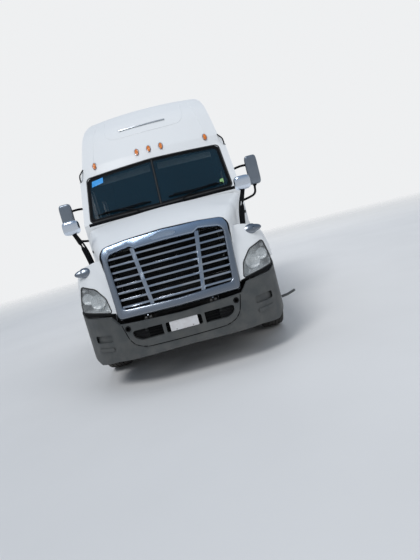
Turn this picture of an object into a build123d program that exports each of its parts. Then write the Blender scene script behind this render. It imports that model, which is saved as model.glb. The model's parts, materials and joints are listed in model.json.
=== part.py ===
"""A raised-roof sleeper tractor unit with a tilting hood, built as separate pieces."""

import os

from build123d import *

os.makedirs("parts", exist_ok=True)

# Driving dimensions in millimetres. A station is a distance behind the bumper's foremost point,
# x is positive to the vehicle's left, and z is the height above the road.
LENGTH = 8350
FRONT_AXLE = 1290
DRIVE_AXLES = (6425, 7735)
TYRE_RADIUS = 510
STEER_TYRE_X = 1045
STEER_TYRE_WIDTH = 290
DRIVE_TYRE_X = (736, 1079)
DRIVE_TYRE_WIDTH = 276
BEAD_RADIUS = 286
KINGPIN_X = 860
FRAME_WIDTH = 860
RAIL_TOP = 1000
RAIL_HEIGHT = 266
RAIL_FLANGE = 89
RAIL_WALL = 8
FRAME_FRONT = 350
FRAME_END = 8330
CAB_FLOOR = 1050
CAB_BACK = 5000
CAB_WALL = 45
CAB_AXIS = 6000
WINDSHIELD_FOOT = 1700
COWL_TOP = 1960
COWL_UNDERSIDE = 1890
FIREWALL = 2000
ROOF_SPLIT = 2760
DOOR_GAP = 5
HOOD_WALL = 30
HOOD_GAP = 15
HOOD_PIVOT = (118, 735)
GRILLE_LEAN = 0.324
GRILLE_BOW_RADIUS = 6000
GRILLE_FOOT_STATION = 86
GRILLE_FOOT_Z = 768
GRILLE_DEPTH = 95
BUMPER_WALL = 60
HINGE_X = 1185
BAGGAGE_HINGE_X = 1170
FIFTH_WHEEL = 7080


def point(x, station, z):
    """A place given by x, station and height."""
    return Vector(x, station - LENGTH / 2, z)


def side_plane(x):
    """A plane seen from the vehicle's left, with station and height as its two axes."""
    return Plane(origin=point(x, 0, 0), x_dir=(0, 1, 0), z_dir=(1, 0, 0))


def cross_plane(station):
    """A plane seen from the front, with x and height as its two axes."""
    return Plane(origin=point(0, station, 0), x_dir=(1, 0, 0), z_dir=(0, -1, 0))


def level_plane(z):
    """A plane seen from above, with x and station as its two axes."""
    return Plane(origin=point(0, 0, z), x_dir=(1, 0, 0), z_dir=(0, 0, 1))


def symmetric(half):
    """A closed outline from the rows of its left half, from one centre point to the other."""
    return half + [(-x, v, radius) for x, v, radius in reversed(half) if x > 0]


def plain(corners):
    """Outline rows with sharp corners."""
    return [(u, v, 0) for u, v in corners]


def outline(plane, rows, grow=0):
    """A face on a plane from rows of u, v and corner radius, grown or shrunk all round."""
    with BuildSketch(plane) as drawn:
        with BuildLine():
            FilletPolyline(*[(u, v) for u, v, _ in rows], radius=[r for _, _, r in rows], close=True)
        make_face()
        if grow:
            offset(amount=grow)
    return drawn.sketch


def across(rows, x_low, x_high, grow=0, mode=Mode.ADD):
    """Carries an outline of station and height across the vehicle."""
    extrude(outline(side_plane(x_low), rows, grow), amount=x_high - x_low, mode=mode)


def along(rows, front, back, grow=0, mode=Mode.ADD):
    """Carries an outline of x and height along the vehicle."""
    extrude(outline(cross_plane(back), rows, grow), amount=back - front, mode=mode)


def upward(rows, z_low, z_high, grow=0, mode=Mode.ADD):
    """Carries an outline of x and station upwards."""
    extrude(outline(level_plane(z_low), rows, grow), amount=z_high - z_low, mode=mode)


def slab(x, station, z, mode=Mode.ADD):
    """A box from its low and high limits along each axis."""
    middle = point((x[0] + x[1]) / 2, (station[0] + station[1]) / 2, (z[0] + z[1]) / 2)
    with Locations(middle):
        Box(x[1] - x[0], station[1] - station[0], z[1] - z[0], mode=mode)


def rod(start, end, radius, mode=Mode.ADD):
    """A round bar between two places given as x, station and height."""
    low = point(*start)
    high = point(*end)
    with BuildSketch(Plane(origin=low, z_dir=high - low)) as disc:
        Circle(radius)
    extrude(disc.sketch, amount=(high - low).length, mode=mode)


def turned(rows, station, z, mode=Mode.ADD):
    """Turns an outline of x and radius about an axis that runs across the vehicle."""
    hub = Plane(origin=point(0, station, z), x_dir=(1, 0, 0), z_dir=(0, -1, 0))
    revolve(outline(hub, rows), axis=Axis(hub.origin, (1, 0, 0)), mode=mode)


def write(part, name):
    """Labels a finished piece and writes it."""
    part.part.label = name
    export_step(part.part, f"parts/{name}.step")


# Chassis: two channel rails, the crossmembers between their webs, and the rubber cab mounts.
CROSSMEMBERS = (3350, 4500, 5650, 6050, 7050, 8270)
CAB_MOUNTS = (2200, 3250, 4850)
RAIL_OUT = FRAME_WIDTH / 2
RAIL_IN = RAIL_OUT - RAIL_FLANGE
RAIL_BOTTOM = RAIL_TOP - RAIL_HEIGHT
LUG_PLATES = ((322, 348), (372, 398))
channel = plain(
    [
        (RAIL_OUT, RAIL_BOTTOM),
        (RAIL_OUT, RAIL_TOP),
        (RAIL_IN, RAIL_TOP),
        (RAIL_IN, RAIL_TOP - RAIL_WALL),
        (RAIL_OUT - RAIL_WALL, RAIL_TOP - RAIL_WALL),
        (RAIL_OUT - RAIL_WALL, RAIL_BOTTOM + RAIL_WALL),
        (RAIL_IN, RAIL_BOTTOM + RAIL_WALL),
        (RAIL_IN, RAIL_BOTTOM),
    ]
)
with BuildPart() as ladder_frame:
    along(channel, FRAME_FRONT, FRAME_END)
    for station in CAB_MOUNTS:
        slab((RAIL_IN, RAIL_OUT), (station, station + 120), (RAIL_TOP, CAB_FLOOR))
    mirror(about=Plane.YZ)
write(ladder_frame, "ladder_frame")

# Crossmembers between the rails. The front one carries the hood's hinge lugs.
web = RAIL_OUT - RAIL_WALL
hinge_lug = [
    (FRAME_FRONT + 10, 850, 0),
    (FRAME_FRONT + 10, RAIL_BOTTOM + RAIL_WALL, 0),
    (FRAME_FRONT - 10, RAIL_BOTTOM + RAIL_WALL, 0),
    (96, 711, 22),
    (96, 759, 22),
    (215, 759, 40),
]
with BuildPart() as crossmembers:
    for low, high in LUG_PLATES:
        across(hinge_lug, low, high)
    rod((322, *HOOD_PIVOT), (398, *HOOD_PIVOT), 14)
    slab((0, 400), (FRAME_FRONT, FRAME_FRONT + 60), (RAIL_BOTTOM + RAIL_WALL, RAIL_TOP - RAIL_WALL))
    for station in CROSSMEMBERS:
        slab((0, web), (station, station + 60), (860, RAIL_TOP - RAIL_WALL))
    mirror(about=Plane.YZ)
write(crossmembers, "crossmembers")

# Front axle: a dropped beam with an eye at each end for the kingpin.
beam = symmetric(
    [
        (0, 400, 0),
        (500, 400, 60),
        (650, 465, 60),
        (KINGPIN_X, 465, 0),
        (KINGPIN_X, 555, 0),
        (620, 555, 60),
        (480, 490, 60),
        (0, 490, 0),
    ]
)
with BuildPart() as front_axle:
    along(beam, FRONT_AXLE - 55, FRONT_AXLE + 55)
    for side in (-1, 1):
        rod((side * KINGPIN_X, FRONT_AXLE, 465), (side * KINGPIN_X, FRONT_AXLE, 555), 55)
    for side in (-1, 1):
        eye = (side * KINGPIN_X, FRONT_AXLE)
        rod((*eye, 460), (*eye, 560), 21, mode=Mode.SUBTRACT)
write(front_axle, "front_axle")

# Leaf springs under the rails, each with its hanger, shackle and axle seat.
leaf_pack = [
    (650, 620, 0),
    (FRONT_AXLE, 530, 1500),
    (1930, 620, 0),
    (1930, 665, 0),
    (FRONT_AXLE, 600, 1500),
    (650, 665, 0),
]
with BuildPart() as leaf_springs:
    across(leaf_pack, 341, 425)
    for front, back in ((640, 710), (1880, 1950)):
        slab((341, 425), (front, back), (600, RAIL_BOTTOM))
    slab((341, 425), (FRONT_AXLE - 50, FRONT_AXLE + 50), (490, 550))
    mirror(about=Plane.YZ)
write(leaf_springs, "leaf_springs")

# Steering knuckles: yokes above and below the axle eye, spindle, backing plate and steering arm.
ARM_X = KINGPIN_X
ARM_STATION = FRONT_AXLE + 190
ARM_END = ARM_STATION + 28
steering_arm = plain([(820, FRONT_AXLE), (905, FRONT_AXLE), (890, ARM_END), (830, ARM_END)])
for side, name in ((1, "left"), (-1, "right")):
    pin = (side * KINGPIN_X, FRONT_AXLE)
    with BuildPart() as knuckle:
        for low, high in ((420, 460), (560, 600)):
            rod((*pin, low), (*pin, high), 50)
            slab(sorted((side * 860, side * 945)), (FRONT_AXLE - 50, FRONT_AXLE + 50), (low, high))
        rod((*pin, 420), (*pin, 600), 20)
        slab(sorted((side * 921, side * 945)), (FRONT_AXLE - 70, FRONT_AXLE + 70), (420, 600))
        rod((side * 945, FRONT_AXLE, TYRE_RADIUS), (side * 957, FRONT_AXLE, TYRE_RADIUS), 150)
        rod((side * 945, FRONT_AXLE, TYRE_RADIUS), (side * 1115, FRONT_AXLE, TYRE_RADIUS), 38)
        upward([(side * x, station, 0) for x, station, _ in steering_arm], 425, 455)
        joint_pin = (side * ARM_X, ARM_STATION)
        rod((*joint_pin, 415), (*joint_pin, 465), 13, mode=Mode.SUBTRACT)
    write(knuckle, f"knuckle_{name}")

with BuildPart() as tie_rod:
    rod((-ARM_X, ARM_STATION, 478), (ARM_X, ARM_STATION, 478), 17)
    for side in (-1, 1):
        rod((side * ARM_X, ARM_STATION, 428), (side * ARM_X, ARM_STATION, 495), 11)
        rod((side * ARM_X, ARM_STATION, 458), (side * ARM_X, ARM_STATION, 498), 24)
write(tie_rod, "tie_rod")

# Drive axles: tubes with stepped spindles, a round centre housing, and the noses for the shafts.
with BuildPart() as drive_axles:
    for station in DRIVE_AXLES:
        housing = [
            (0, 0, 0),
            (1130, 0, 0),
            (1130, 45, 0),
            (700, 45, 0),
            (700, 62, 0),
            (230, 62, 40),
            (150, 190, 60),
            (0, 210, 0),
        ]
        turned([(x, r, f) for x, r, f in housing], station, TYRE_RADIUS)
        turned([(-x, r, f) for x, r, f in housing], station, TYRE_RADIUS)
        rod((0, station - 260, 600), (0, station, 560), 75)
    rod((0, DRIVE_AXLES[0], 560), (0, DRIVE_AXLES[0] + 260, 600), 75)
write(drive_axles, "drive_axles")

# Air suspension: hanger, beam, seat on the axle tube, and the air spring under the rail.
with BuildPart() as air_suspension:
    for station in DRIVE_AXLES:
        slab((341, 425), (station - 590, station - 510), (560, RAIL_BOTTOM))
        slab((341, 425), (station - 590, station + 470), (575, 612))
        slab((341, 425), (station - 70, station + 70), (540, 580))
        rod((383, station + 340, 612), (383, station + 340, RAIL_BOTTOM), 120)
    for station in DRIVE_AXLES:
        rod((300, station, TYRE_RADIUS), (460, station, TYRE_RADIUS), 62, mode=Mode.SUBTRACT)
    mirror(about=Plane.YZ)
write(air_suspension, "air_suspension")

with BuildPart() as driveshaft:
    rod((0, 2900, 800), (0, DRIVE_AXLES[0] - 260, 600), 55)
    rod((0, DRIVE_AXLES[0] + 260, 600), (0, DRIVE_AXLES[1] - 260, 600), 45)
    add(drive_axles.part, mode=Mode.SUBTRACT)
    slab((-200, 200), (2700, 2900), (600, 1000), mode=Mode.SUBTRACT)
write(driveshaft, "driveshaft")

# Engine and gearbox as one plain mass on side mounts between the rails.
with BuildPart() as powertrain:
    slab((-290, 290), (760, 1930), (620, 1470))
    slab((-200, 200), (1930, 2600), (690, 1030))
    rod((0, 2600, 800), (0, 2900, 800), 95)
    for side in (-1, 1):
        slab(sorted((side * 290, side * web)), (1480, 1600), (800, 900))
write(powertrain, "powertrain")

radiator_face = symmetric(
    [
        (0, 640, 0),
        (325, 640, 0),
        (325, 1000, 0),
        (600, 1000, 0),
        (600, 1480, 40),
        (0, 1480, 0),
    ]
)
with BuildPart() as radiator:
    along(radiator_face, 470, 620)
write(radiator, "radiator")

# Moulded bumper: a thick wall that follows the plan curve, cut to its front outline.
BUMPER_END = 690
BUMPER_HALF = 1182
bumper_plan = symmetric(
    [
        (0, 0, 0),
        (180, 0, 3000),
        (640, 30, 600),
        (960, 195, 500),
        (1140, 400, 300),
        (BUMPER_HALF, BUMPER_END + 100, 0),
    ]
)
bumper_front = symmetric(
    [
        (0, 365, 0),
        (800, 345, 0),
        (1040, 312, 40),
        (1140, 400, 120),
        (BUMPER_HALF, 620, 200),
        (BUMPER_HALF + 2, 900, 0),
        (1176, 990, 12),
        (1120, 905, 60),
        (1050, 862, 60),
        (752, 838, 25),
        (672, 742, 25),
        (0, 718, 0),
    ]
)
intake = [(230, 655, 0), (560, 655, 30), (545, 575, 60), (470, 535, 60), (230, 540, 0)]
step_recess = [(800, 572, 20), (1010, 572, 20), (1010, 655, 20), (800, 655, 20)]
step_lip = [(815, 474, 14), (1005, 474, 14), (1005, 512, 14), (815, 512, 14)]
SKIN_STEP = 10
centre_section = symmetric(
    [
        (0, 457, 0),
        (460, 460, 90),
        (590, 530, 90),
        (650, 760, 0),
        (650, 900, 0),
        (0, 900, 0),
    ]
)
plate_opening = symmetric([(0, 545, 0), (195, 545, 20), (195, 655, 20), (0, 655, 0)])
rail_bracket = plain(
    [
        (55, 620),
        (340, 620),
        (340, 742),
        (600, 742),
        (600, 985),
        (470, 985),
        (340, 760),
        (55, 700),
    ]
)


def bumper_wall(inset):
    """The region behind the bumper's plan curve, moved back and drawn in by an inset."""
    share = (BUMPER_HALF - inset) / BUMPER_HALF
    moved = [(x * share, station + inset, radius) for x, station, radius in bumper_plan]
    with BuildPart() as region:
        upward(moved, 250, 1050)
    return region.part


with BuildPart() as bumper:
    add(bumper_wall(0))
    add(bumper_wall(BUMPER_WALL), mode=Mode.SUBTRACT)
    slab((-1300, 1300), (BUMPER_END, 1000), (200, 1100), mode=Mode.SUBTRACT)
    along(bumper_front, -50, 900, mode=Mode.INTERSECT)
    for side in (-1, 1):
        along([(side * x, z, r) for x, z, r in intake], -20, 200, mode=Mode.SUBTRACT)
        rod((side * 591, -20, 690), (side * 591, 200, 690), 27, mode=Mode.SUBTRACT)
    along(plate_opening, -20, 200, mode=Mode.SUBTRACT)
    for side in (-1, 1):
        across(rail_bracket, *sorted((side * 400, side * web)))
with BuildPart() as step_cut:
    add(bumper_wall(-5))
    add(bumper_wall(30), mode=Mode.SUBTRACT)
    along(step_recess, -50, 700, mode=Mode.INTERSECT)
    mirror(about=Plane.YZ)
with BuildPart() as lower_skin:
    add(bumper_wall(-5))
    add(bumper_wall(SKIN_STEP), mode=Mode.SUBTRACT)
    along(centre_section, -100, 300, mode=Mode.SUBTRACT)
    for side in (-1, 1):
        along([(side * x, z, r) for x, z, r in step_lip], -100, 600, mode=Mode.SUBTRACT)
with BuildPart() as finished_bumper:
    add(bumper.part)
    add(lower_skin.part, mode=Mode.SUBTRACT)
    add(step_cut.part, mode=Mode.SUBTRACT)
write(finished_bumper, "bumper")

# Dark panel behind the bumper's intake, cut from the next layer of the same curve.
with BuildPart() as bumper_insert:
    add(bumper_wall(BUMPER_WALL))
    add(bumper_wall(BUMPER_WALL + 12), mode=Mode.SUBTRACT)
    along(symmetric([(0, 500, 0), (390, 500, 0), (390, 715, 0), (0, 715, 0)]), 0, 300, mode=Mode.INTERSECT)
write(bumper_insert, "bumper_insert")

# Grille: every piece is cut from one slanted arc, so all of them lean and bow together.
surround_outer = symmetric(
    [
        (0, GRILLE_FOOT_Z, 0),
        (684, GRILLE_FOOT_Z + 4, 45),
        (750, 1572, 110),
        (420, 1606, 300),
        (0, 1622, 0),
    ]
)
surround_inner = symmetric(
    [
        (0, 862, 0),
        (612, 880, 45),
        (668, 1480, 70),
        (400, 1520, 40),
        (330, 1482, 40),
        (0, 1490, 0),
    ]
)
BAR_HEIGHTS = (902, 978, 1054, 1130, 1206, 1282, 1358, 1434)
BAR_THICKNESS = 20
divider = [(262, 855, 0), (304, 855, 0), (396, 1500, 0), (350, 1500, 0)]
hood_arm = [(94, 711, 20), (94, 759, 20), (144, 806, 10), (243, 806, 10), (243, 760, 20), (148, 711, 20)]


def grille_layer(front, back):
    """The slanted, bowed layer between two depths behind the grille's face."""
    half = 800
    bow = GRILLE_BOW_RADIUS - (GRILLE_BOW_RADIUS**2 - half**2) ** 0.5
    low = 740
    start = GRILLE_FOOT_STATION - GRILLE_LEAN * (GRILLE_FOOT_Z - low)
    with BuildPart() as layer:
        with BuildSketch(level_plane(low)) as plan:
            with BuildLine():
                ThreePointArc((-half, start + front + bow), (0, start + front), (half, start + front + bow))
                Line((half, start + front + bow), (half, start + back + bow))
                ThreePointArc((half, start + back + bow), (0, start + back), (-half, start + back + bow))
                Line((-half, start + back + bow), (-half, start + front + bow))
            make_face()
        rise = 1000
        extrude(plan.sketch, amount=rise * (1 + GRILLE_LEAN**2) ** 0.5, dir=(0, GRILLE_LEAN, 1))
    return layer.part


def on_grille_face(edge):
    """Whether an edge lies on the grille's slanted, bowed face."""
    middle = edge.position_at(0.5)
    bow = GRILLE_BOW_RADIUS - (GRILLE_BOW_RADIUS**2 - middle.X**2) ** 0.5
    face = GRILLE_FOOT_STATION + GRILLE_LEAN * (middle.Z - GRILLE_FOOT_Z) + bow
    return abs(middle.Y + LENGTH / 2 - face) < 2


with BuildPart() as grille_surround:
    add(grille_layer(0, GRILLE_DEPTH))
    along(surround_outer, -300, 900, mode=Mode.INTERSECT)
    fillet(grille_surround.edges().filter_by(on_grille_face), 26)
    along(surround_inner, -300, 900, mode=Mode.SUBTRACT)
    fillet(grille_surround.edges().filter_by(on_grille_face), 22)
    across(hood_arm, 352, 368)
    across(hood_arm, -368, -352)
    rod((300, *HOOD_PIVOT), (420, *HOOD_PIVOT), 15, mode=Mode.SUBTRACT)
    rod((-300, *HOOD_PIVOT), (-420, *HOOD_PIVOT), 15, mode=Mode.SUBTRACT)
write(grille_surround, "grille_surround")

with BuildPart() as bar_pattern:
    for height in BAR_HEIGHTS:
        slab((-720, 720), (0, 700), (height - BAR_THICKNESS / 2, height + BAR_THICKNESS / 2))
    for side in (-1, 1):
        along([(side * x, z, r) for x, z, r in divider], 0, 700)
    along(surround_inner, 0, 700, mode=Mode.INTERSECT)
with BuildPart() as grille_bars:
    add(grille_layer(28, 62))
    add(bar_pattern.part, mode=Mode.INTERSECT)
write(grille_bars, "grille_bars")

# Cab and roof: the front outline carried back, met by a side profile turned about a distant
# upright axis, which gives the windshield and the roof their bow.
cab_outline = symmetric(
    [
        (0, CAB_FLOOR, 0),
        (1158, CAB_FLOOR, 40),
        (1165, 2690, 200),
        (1098, 2850, 400),
        (1030, 3640, 250),
        (900, 3900, 180),
        (0, 3960, 0),
    ]
)
cab_profile = [
    (CAB_AXIS - 50, CAB_FLOOR, 0),
    (WINDSHIELD_FOOT, CAB_FLOOR, 0),
    (WINDSHIELD_FOOT, COWL_TOP, 0),
    (2270, 2720, 0),
    (2335, 2855, 100),
    (2750, 3400, 1200),
    (3600, 3880, 2000),
    (CAB_AXIS - 50, 3955, 0),
]


def cab_form(grow):
    """The whole cab and roof as one solid form, grown outwards or shrunk inwards."""
    # The profile is drawn behind the axis, so that the turned form's seam lies beyond the cab's back.
    rear_rows = [(2 * CAB_AXIS - station, z, radius) for station, z, radius in cab_profile]
    with BuildPart() as form:
        profile = outline(side_plane(0), rear_rows, grow)
        revolve(profile, axis=Axis(point(0, CAB_AXIS, 0), (0, 0, 1)))
        back = CAB_BACK + min(grow, 0)
        extrude(outline(cross_plane(back), cab_outline, grow), amount=back - 1500, mode=Mode.INTERSECT)
    return form.part


cab_outer = cab_form(0)
cab_inner = cab_form(-CAB_WALL)
with BuildPart() as cab_walls:
    add(cab_outer)
    slab((-1040, 1040), (1500, FIREWALL), (1000, COWL_UNDERSIDE), mode=Mode.SUBTRACT)
    add(cab_inner, mode=Mode.SUBTRACT)
    slab((-1118, 1118), (1500, FIREWALL + CAB_WALL), (CAB_FLOOR, COWL_TOP - 15))
    slab((-1040, 1040), (1400, FIREWALL), (1000, COWL_UNDERSIDE), mode=Mode.SUBTRACT)
    add(cab_outer, mode=Mode.INTERSECT)

windshield = symmetric([(0, 1975, 0), (1052, 1985, 50), (1042, 2672, 70), (0, 2706, 0)])
door_shape = [(2095, 1090, 30), (2095, 1985, 120), (2500, 2650, 120), (3130, 2650, 60), (3130, 1090, 30)]
door_window = [(2215, 1960, 40), (2570, 2560, 60), (3040, 2560, 60), (3040, 1860, 50), (2640, 1860, 200)]
sleeper_window = [(3480, 2050, 60), (3480, 2450, 60), (3900, 2450, 60), (3900, 2050, 60)]
baggage_shape = [(3400, 1120, 40), (3400, 1520, 40), (4080, 1520, 40), (4080, 1120, 40)]
with BuildPart() as cab_shell:
    add(cab_walls.part)
    slab((-1300, 1300), (1000, 5200), (ROOF_SPLIT, 4200), mode=Mode.SUBTRACT)
    along(windshield, 1500, 2900, mode=Mode.SUBTRACT)
    for side in (-1, 1):
        reach = sorted((side * 1050, side * 1300))
        for shape in (door_shape, sleeper_window, baggage_shape):
            across(shape, *reach, mode=Mode.SUBTRACT)
    for side in (-1, 1):
        hinge = (side * HINGE_X, 2088)
        for low, high in ((1290, 1318), (1382, 1410), (1800, 1828), (1892, 1920)):
            rod((*hinge, low), (*hinge, high), 14)
            slab(sorted((side * 1140, side * HINGE_X)), (2060, 2088), (low, high))
write(cab_shell, "cab_shell")

with BuildPart() as roof_cap:
    add(cab_walls.part)
    slab((-1300, 1300), (1000, 5200), (900, ROOF_SPLIT), mode=Mode.SUBTRACT)
write(roof_cap, "roof_cap")

with BuildPart() as windshield_glass:
    add(cab_form(-8))
    add(cab_form(-20), mode=Mode.SUBTRACT)
    along(windshield, 1500, 2900, mode=Mode.INTERSECT)
write(windshield_glass, "windshield_glass")

with BuildPart() as sleeper_windows:
    across(sleeper_window, 1142, 1152)
    mirror(about=Plane.YZ)
write(sleeper_windows, "sleeper_windows")

# Amber marker lamps sit on the roof's skin above the windshield.
MARKERS = ((0, 2880), (190, 2876), (-190, 2876), (885, 2850), (-885, 2850))
with BuildPart() as roof_markers:
    for x, z in MARKERS:
        with BuildSketch(cross_plane(3000)) as lens:
            with Locations((x, z)):
                Ellipse(24, 48)
        extrude(lens.sketch, amount=1200)
    add(cab_form(22), mode=Mode.INTERSECT)
    add(cab_outer, mode=Mode.SUBTRACT)
write(roof_markers, "roof_markers")

# Side extenders carry the cab's outline back towards the trailer.
with BuildPart() as side_extenders:
    extrude(outline(cross_plane(5520), cab_outline), amount=5520 - CAB_BACK)
    extrude(outline(cross_plane(5520), cab_outline, -28), amount=5520 - CAB_BACK, mode=Mode.SUBTRACT)
    slab((-1300, 1300), (4900, 5600), (1000, 1330), mode=Mode.SUBTRACT)
    slab((-900, 900), (5120, 5600), (3000, 4200), mode=Mode.SUBTRACT)
write(side_extenders, "side_extenders")

# Cab interior.
dash = [
    (FIREWALL + CAB_WALL, 1400, 0),
    (FIREWALL + CAB_WALL, 1930, 0),
    (2400, 1890, 40),
    (2480, 1700, 60),
    (2420, 1480, 60),
]
COLUMN_FOOT = (520, 2420, 1600)
COLUMN_TOP = (520, 2640, 1700)
with BuildPart() as dashboard:
    across(dash, -1080, 1080)
    rod(COLUMN_FOOT, COLUMN_TOP, 38)
write(dashboard, "dashboard")

column = point(*COLUMN_TOP) - point(*COLUMN_FOOT)
wheel_plane = Plane(origin=point(*COLUMN_TOP) + column.normalized() * 6, x_dir=(1, 0, 0), z_dir=column)
with BuildPart() as steering_wheel:
    with BuildSketch(wheel_plane) as spokes:
        Circle(55)
        for angle in (90, 210, 330):
            with Locations(Location((0, 0), angle)):
                Rectangle(215, 42, align=(Align.MIN, Align.CENTER))
    extrude(spokes.sketch, amount=18)
    with BuildSketch(wheel_plane) as ring:
        Circle(228)
        Circle(198, mode=Mode.SUBTRACT)
    extrude(ring.sketch, amount=28)
write(steering_wheel, "steering_wheel")

SEAT_X = 560
cushion = [
    (2900, 1400, 40),
    (2880, 1520, 40),
    (3340, 1500, 60),
    (3450, 2120, 40),
    (3570, 2110, 40),
    (3480, 1400, 60),
]
with BuildPart() as seats:
    across(cushion, SEAT_X - 250, SEAT_X + 250)
    slab((SEAT_X - 170, SEAT_X + 170), (2980, 3400), (CAB_FLOOR + CAB_WALL, 1410))
    mirror(about=Plane.YZ)
write(seats, "seats")

with BuildPart() as bunk:
    slab((-1105, 1105), (4150, CAB_BACK - CAB_WALL), (CAB_FLOOR + CAB_WALL, 1700))
write(bunk, "bunk")

# Doors are cut from the same wall as the cab, with a gap all round, and hinge on outside lugs.
GLASS_OUT = 1150
GLASS_IN = 1140
for side, name in ((1, "left"), (-1, "right")):
    reach = sorted((side * 1050, side * 1300))
    with BuildPart() as door:
        across(door_shape, *reach, grow=-DOOR_GAP)
        add(cab_walls.part, mode=Mode.INTERSECT)
        across(door_window, *reach, mode=Mode.SUBTRACT)
        for low, high in ((1320, 1380), (1830, 1890)):
            rod((side * HINGE_X, 2088, low), (side * HINGE_X, 2088, high), 14)
            slab(sorted((side * 1150, side * 1180)), (2101, 2160), (low, high))
            slab(sorted((side * 1172, side * 1192)), (2088, 2160), (low, high))
    write(door, f"door_{name}")
    with BuildPart() as door_glass:
        across(door_window, *sorted((side * GLASS_IN, side * GLASS_OUT)))
    write(door_glass, f"door_glass_{name}")
    with BuildPart() as door_mirror:
        slab(sorted((side * 1350, side * 1530)), (2110, 2200), (1940, 2370))
        fillet(door_mirror.edges().filter_by(Axis.Z), 25)
        rod((side * 1163, 2240, 1750), (side * 1400, 2170, 1800), 17)
        rod((side * 1400, 2170, 1790), (side * 1400, 2170, 1960), 17)
        rod((side * 1163, 2330, 2250), (side * 1360, 2170, 2250), 17)
        add(cab_outer, mode=Mode.SUBTRACT)
    write(door_mirror, f"door_mirror_{name}")
    with BuildPart() as baggage_door:
        across(baggage_shape, *reach, grow=-DOOR_GAP)
        add(cab_walls.part, mode=Mode.INTERSECT)
        rod((side * BAGGAGE_HINGE_X, 3400, 1170), (side * BAGGAGE_HINGE_X, 3400, 1470), 8)
        slab(sorted((side * 1150, side * (BAGGAGE_HINGE_X + 6))), (3406, 3440), (1170, 1470))
        slab(sorted((side * 1163, side * (BAGGAGE_HINGE_X + 6))), (3400, 3440), (1170, 1470))
    write(baggage_door, f"baggage_door_{name}")

# Hood: a loft through four cross sections, hollow, trimmed at the grille and at the cowl.
# Columns: station, shoulder half-width, shoulder z, crown z, foot half-width, foot z, shoulder radius.
HOOD_SECTIONS = (
    (240, 716, 1500, 1570, 690, 1250, 90),
    (900, 925, 1695, 1790, 885, 1330, 110),
    (1400, 1055, 1805, 1895, 985, 1370, 110),
    (1900, 1150, 1880, 1960, 1065, 1380, 90),
)


def hood_form(inset, drop):
    """The hood as a solid form, drawn in by an inset and let down below its foot by a drop."""
    with BuildPart() as form:
        for station, shoulder, shoulder_z, crown, foot, foot_z, radius in HOOD_SECTIONS:
            wide = shoulder - inset
            top_z = shoulder_z - inset
            low = foot - inset
            with BuildSketch(cross_plane(station)) as section:
                with BuildLine():
                    Line((low, foot_z - drop), (wide, top_z))
                    ThreePointArc((wide, top_z), (0, crown - inset), (-wide, top_z))
                    Line((-wide, top_z), (-low, foot_z - drop))
                    Line((-low, foot_z - drop), (low, foot_z - drop))
                make_face()
                top = section.vertices().group_by(Axis.Y)[-1]
                fillet(top, radius)
        loft()
    return form.part


hood_outer = hood_form(0, 0)
with BuildPart() as ahead_of_grille:
    add(grille_layer(-400, GRILLE_DEPTH))
    along(surround_outer, -500, 900, grow=0.5, mode=Mode.INTERSECT)
with BuildPart() as cowl_clearance:
    with BuildSketch(level_plane(600)) as disc:
        with Locations((0, CAB_AXIS)):
            Circle(CAB_AXIS - WINDSHIELD_FOOT + HOOD_GAP)
    extrude(disc.sketch, amount=1600)
with BuildPart() as hood_panel:
    add(hood_outer)
    add(hood_form(HOOD_WALL, 60), mode=Mode.SUBTRACT)
    add(ahead_of_grille.part, mode=Mode.SUBTRACT)
    add(cowl_clearance.part, mode=Mode.SUBTRACT)
write(hood_panel, "hood_panel")

# Fenders: a plan outline carried up along the front's lean, met by the front outline.
FENDER_LEAN = 0.45
FENDER_BASE = 700
ARCH_RADIUS = 565
fender_plan = symmetric(
    [
        (0, 98, 0),
        (640, 98, 0),
        (760, 148, 200),
        (1000, 225, 300),
        (1115, 330, 200),
        (1180, 520, 300),
        (1197, 900, 300),
        (1197, 2600, 0),
        (0, 2600, 0),
    ]
)
fender_front = symmetric(
    [
        (0, FENDER_BASE, 0),
        (1196, FENDER_BASE, 0),
        (1196, 940, 0),
        (1178, 1110, 120),
        (1120, 1300, 140),
        (1030, 1415, 140),
        (860, 1450, 0),
        (0, 1450, 0),
    ]
)
lamp_face = [
    (745, 868, 20),
    (1112, 930, 30),
    (1122, 1010, 60),
    (1082, 1215, 30),
    (900, 1155, 120),
    (790, 1030, 100),
]


def fender_form(inset):
    """The solid form of both fenders, drawn in by an inset and open below when drawn in."""
    share = (1197 - inset) / 1197
    with BuildPart() as form:
        set_back = inset * 1.1
        plan = [(x * share, y + set_back * (y < 2000), radius) for x, y, radius in fender_plan]
        lean_length = 900 * (1 + FENDER_LEAN**2) ** 0.5
        extrude(outline(level_plane(FENDER_BASE), plan), amount=lean_length, dir=(0, FENDER_LEAN, 1))
        front = [(x * share, z - inset, radius) for x, z, radius in fender_front]
        along(front, -300, 2600, mode=Mode.INTERSECT)
    return form.part


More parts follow.
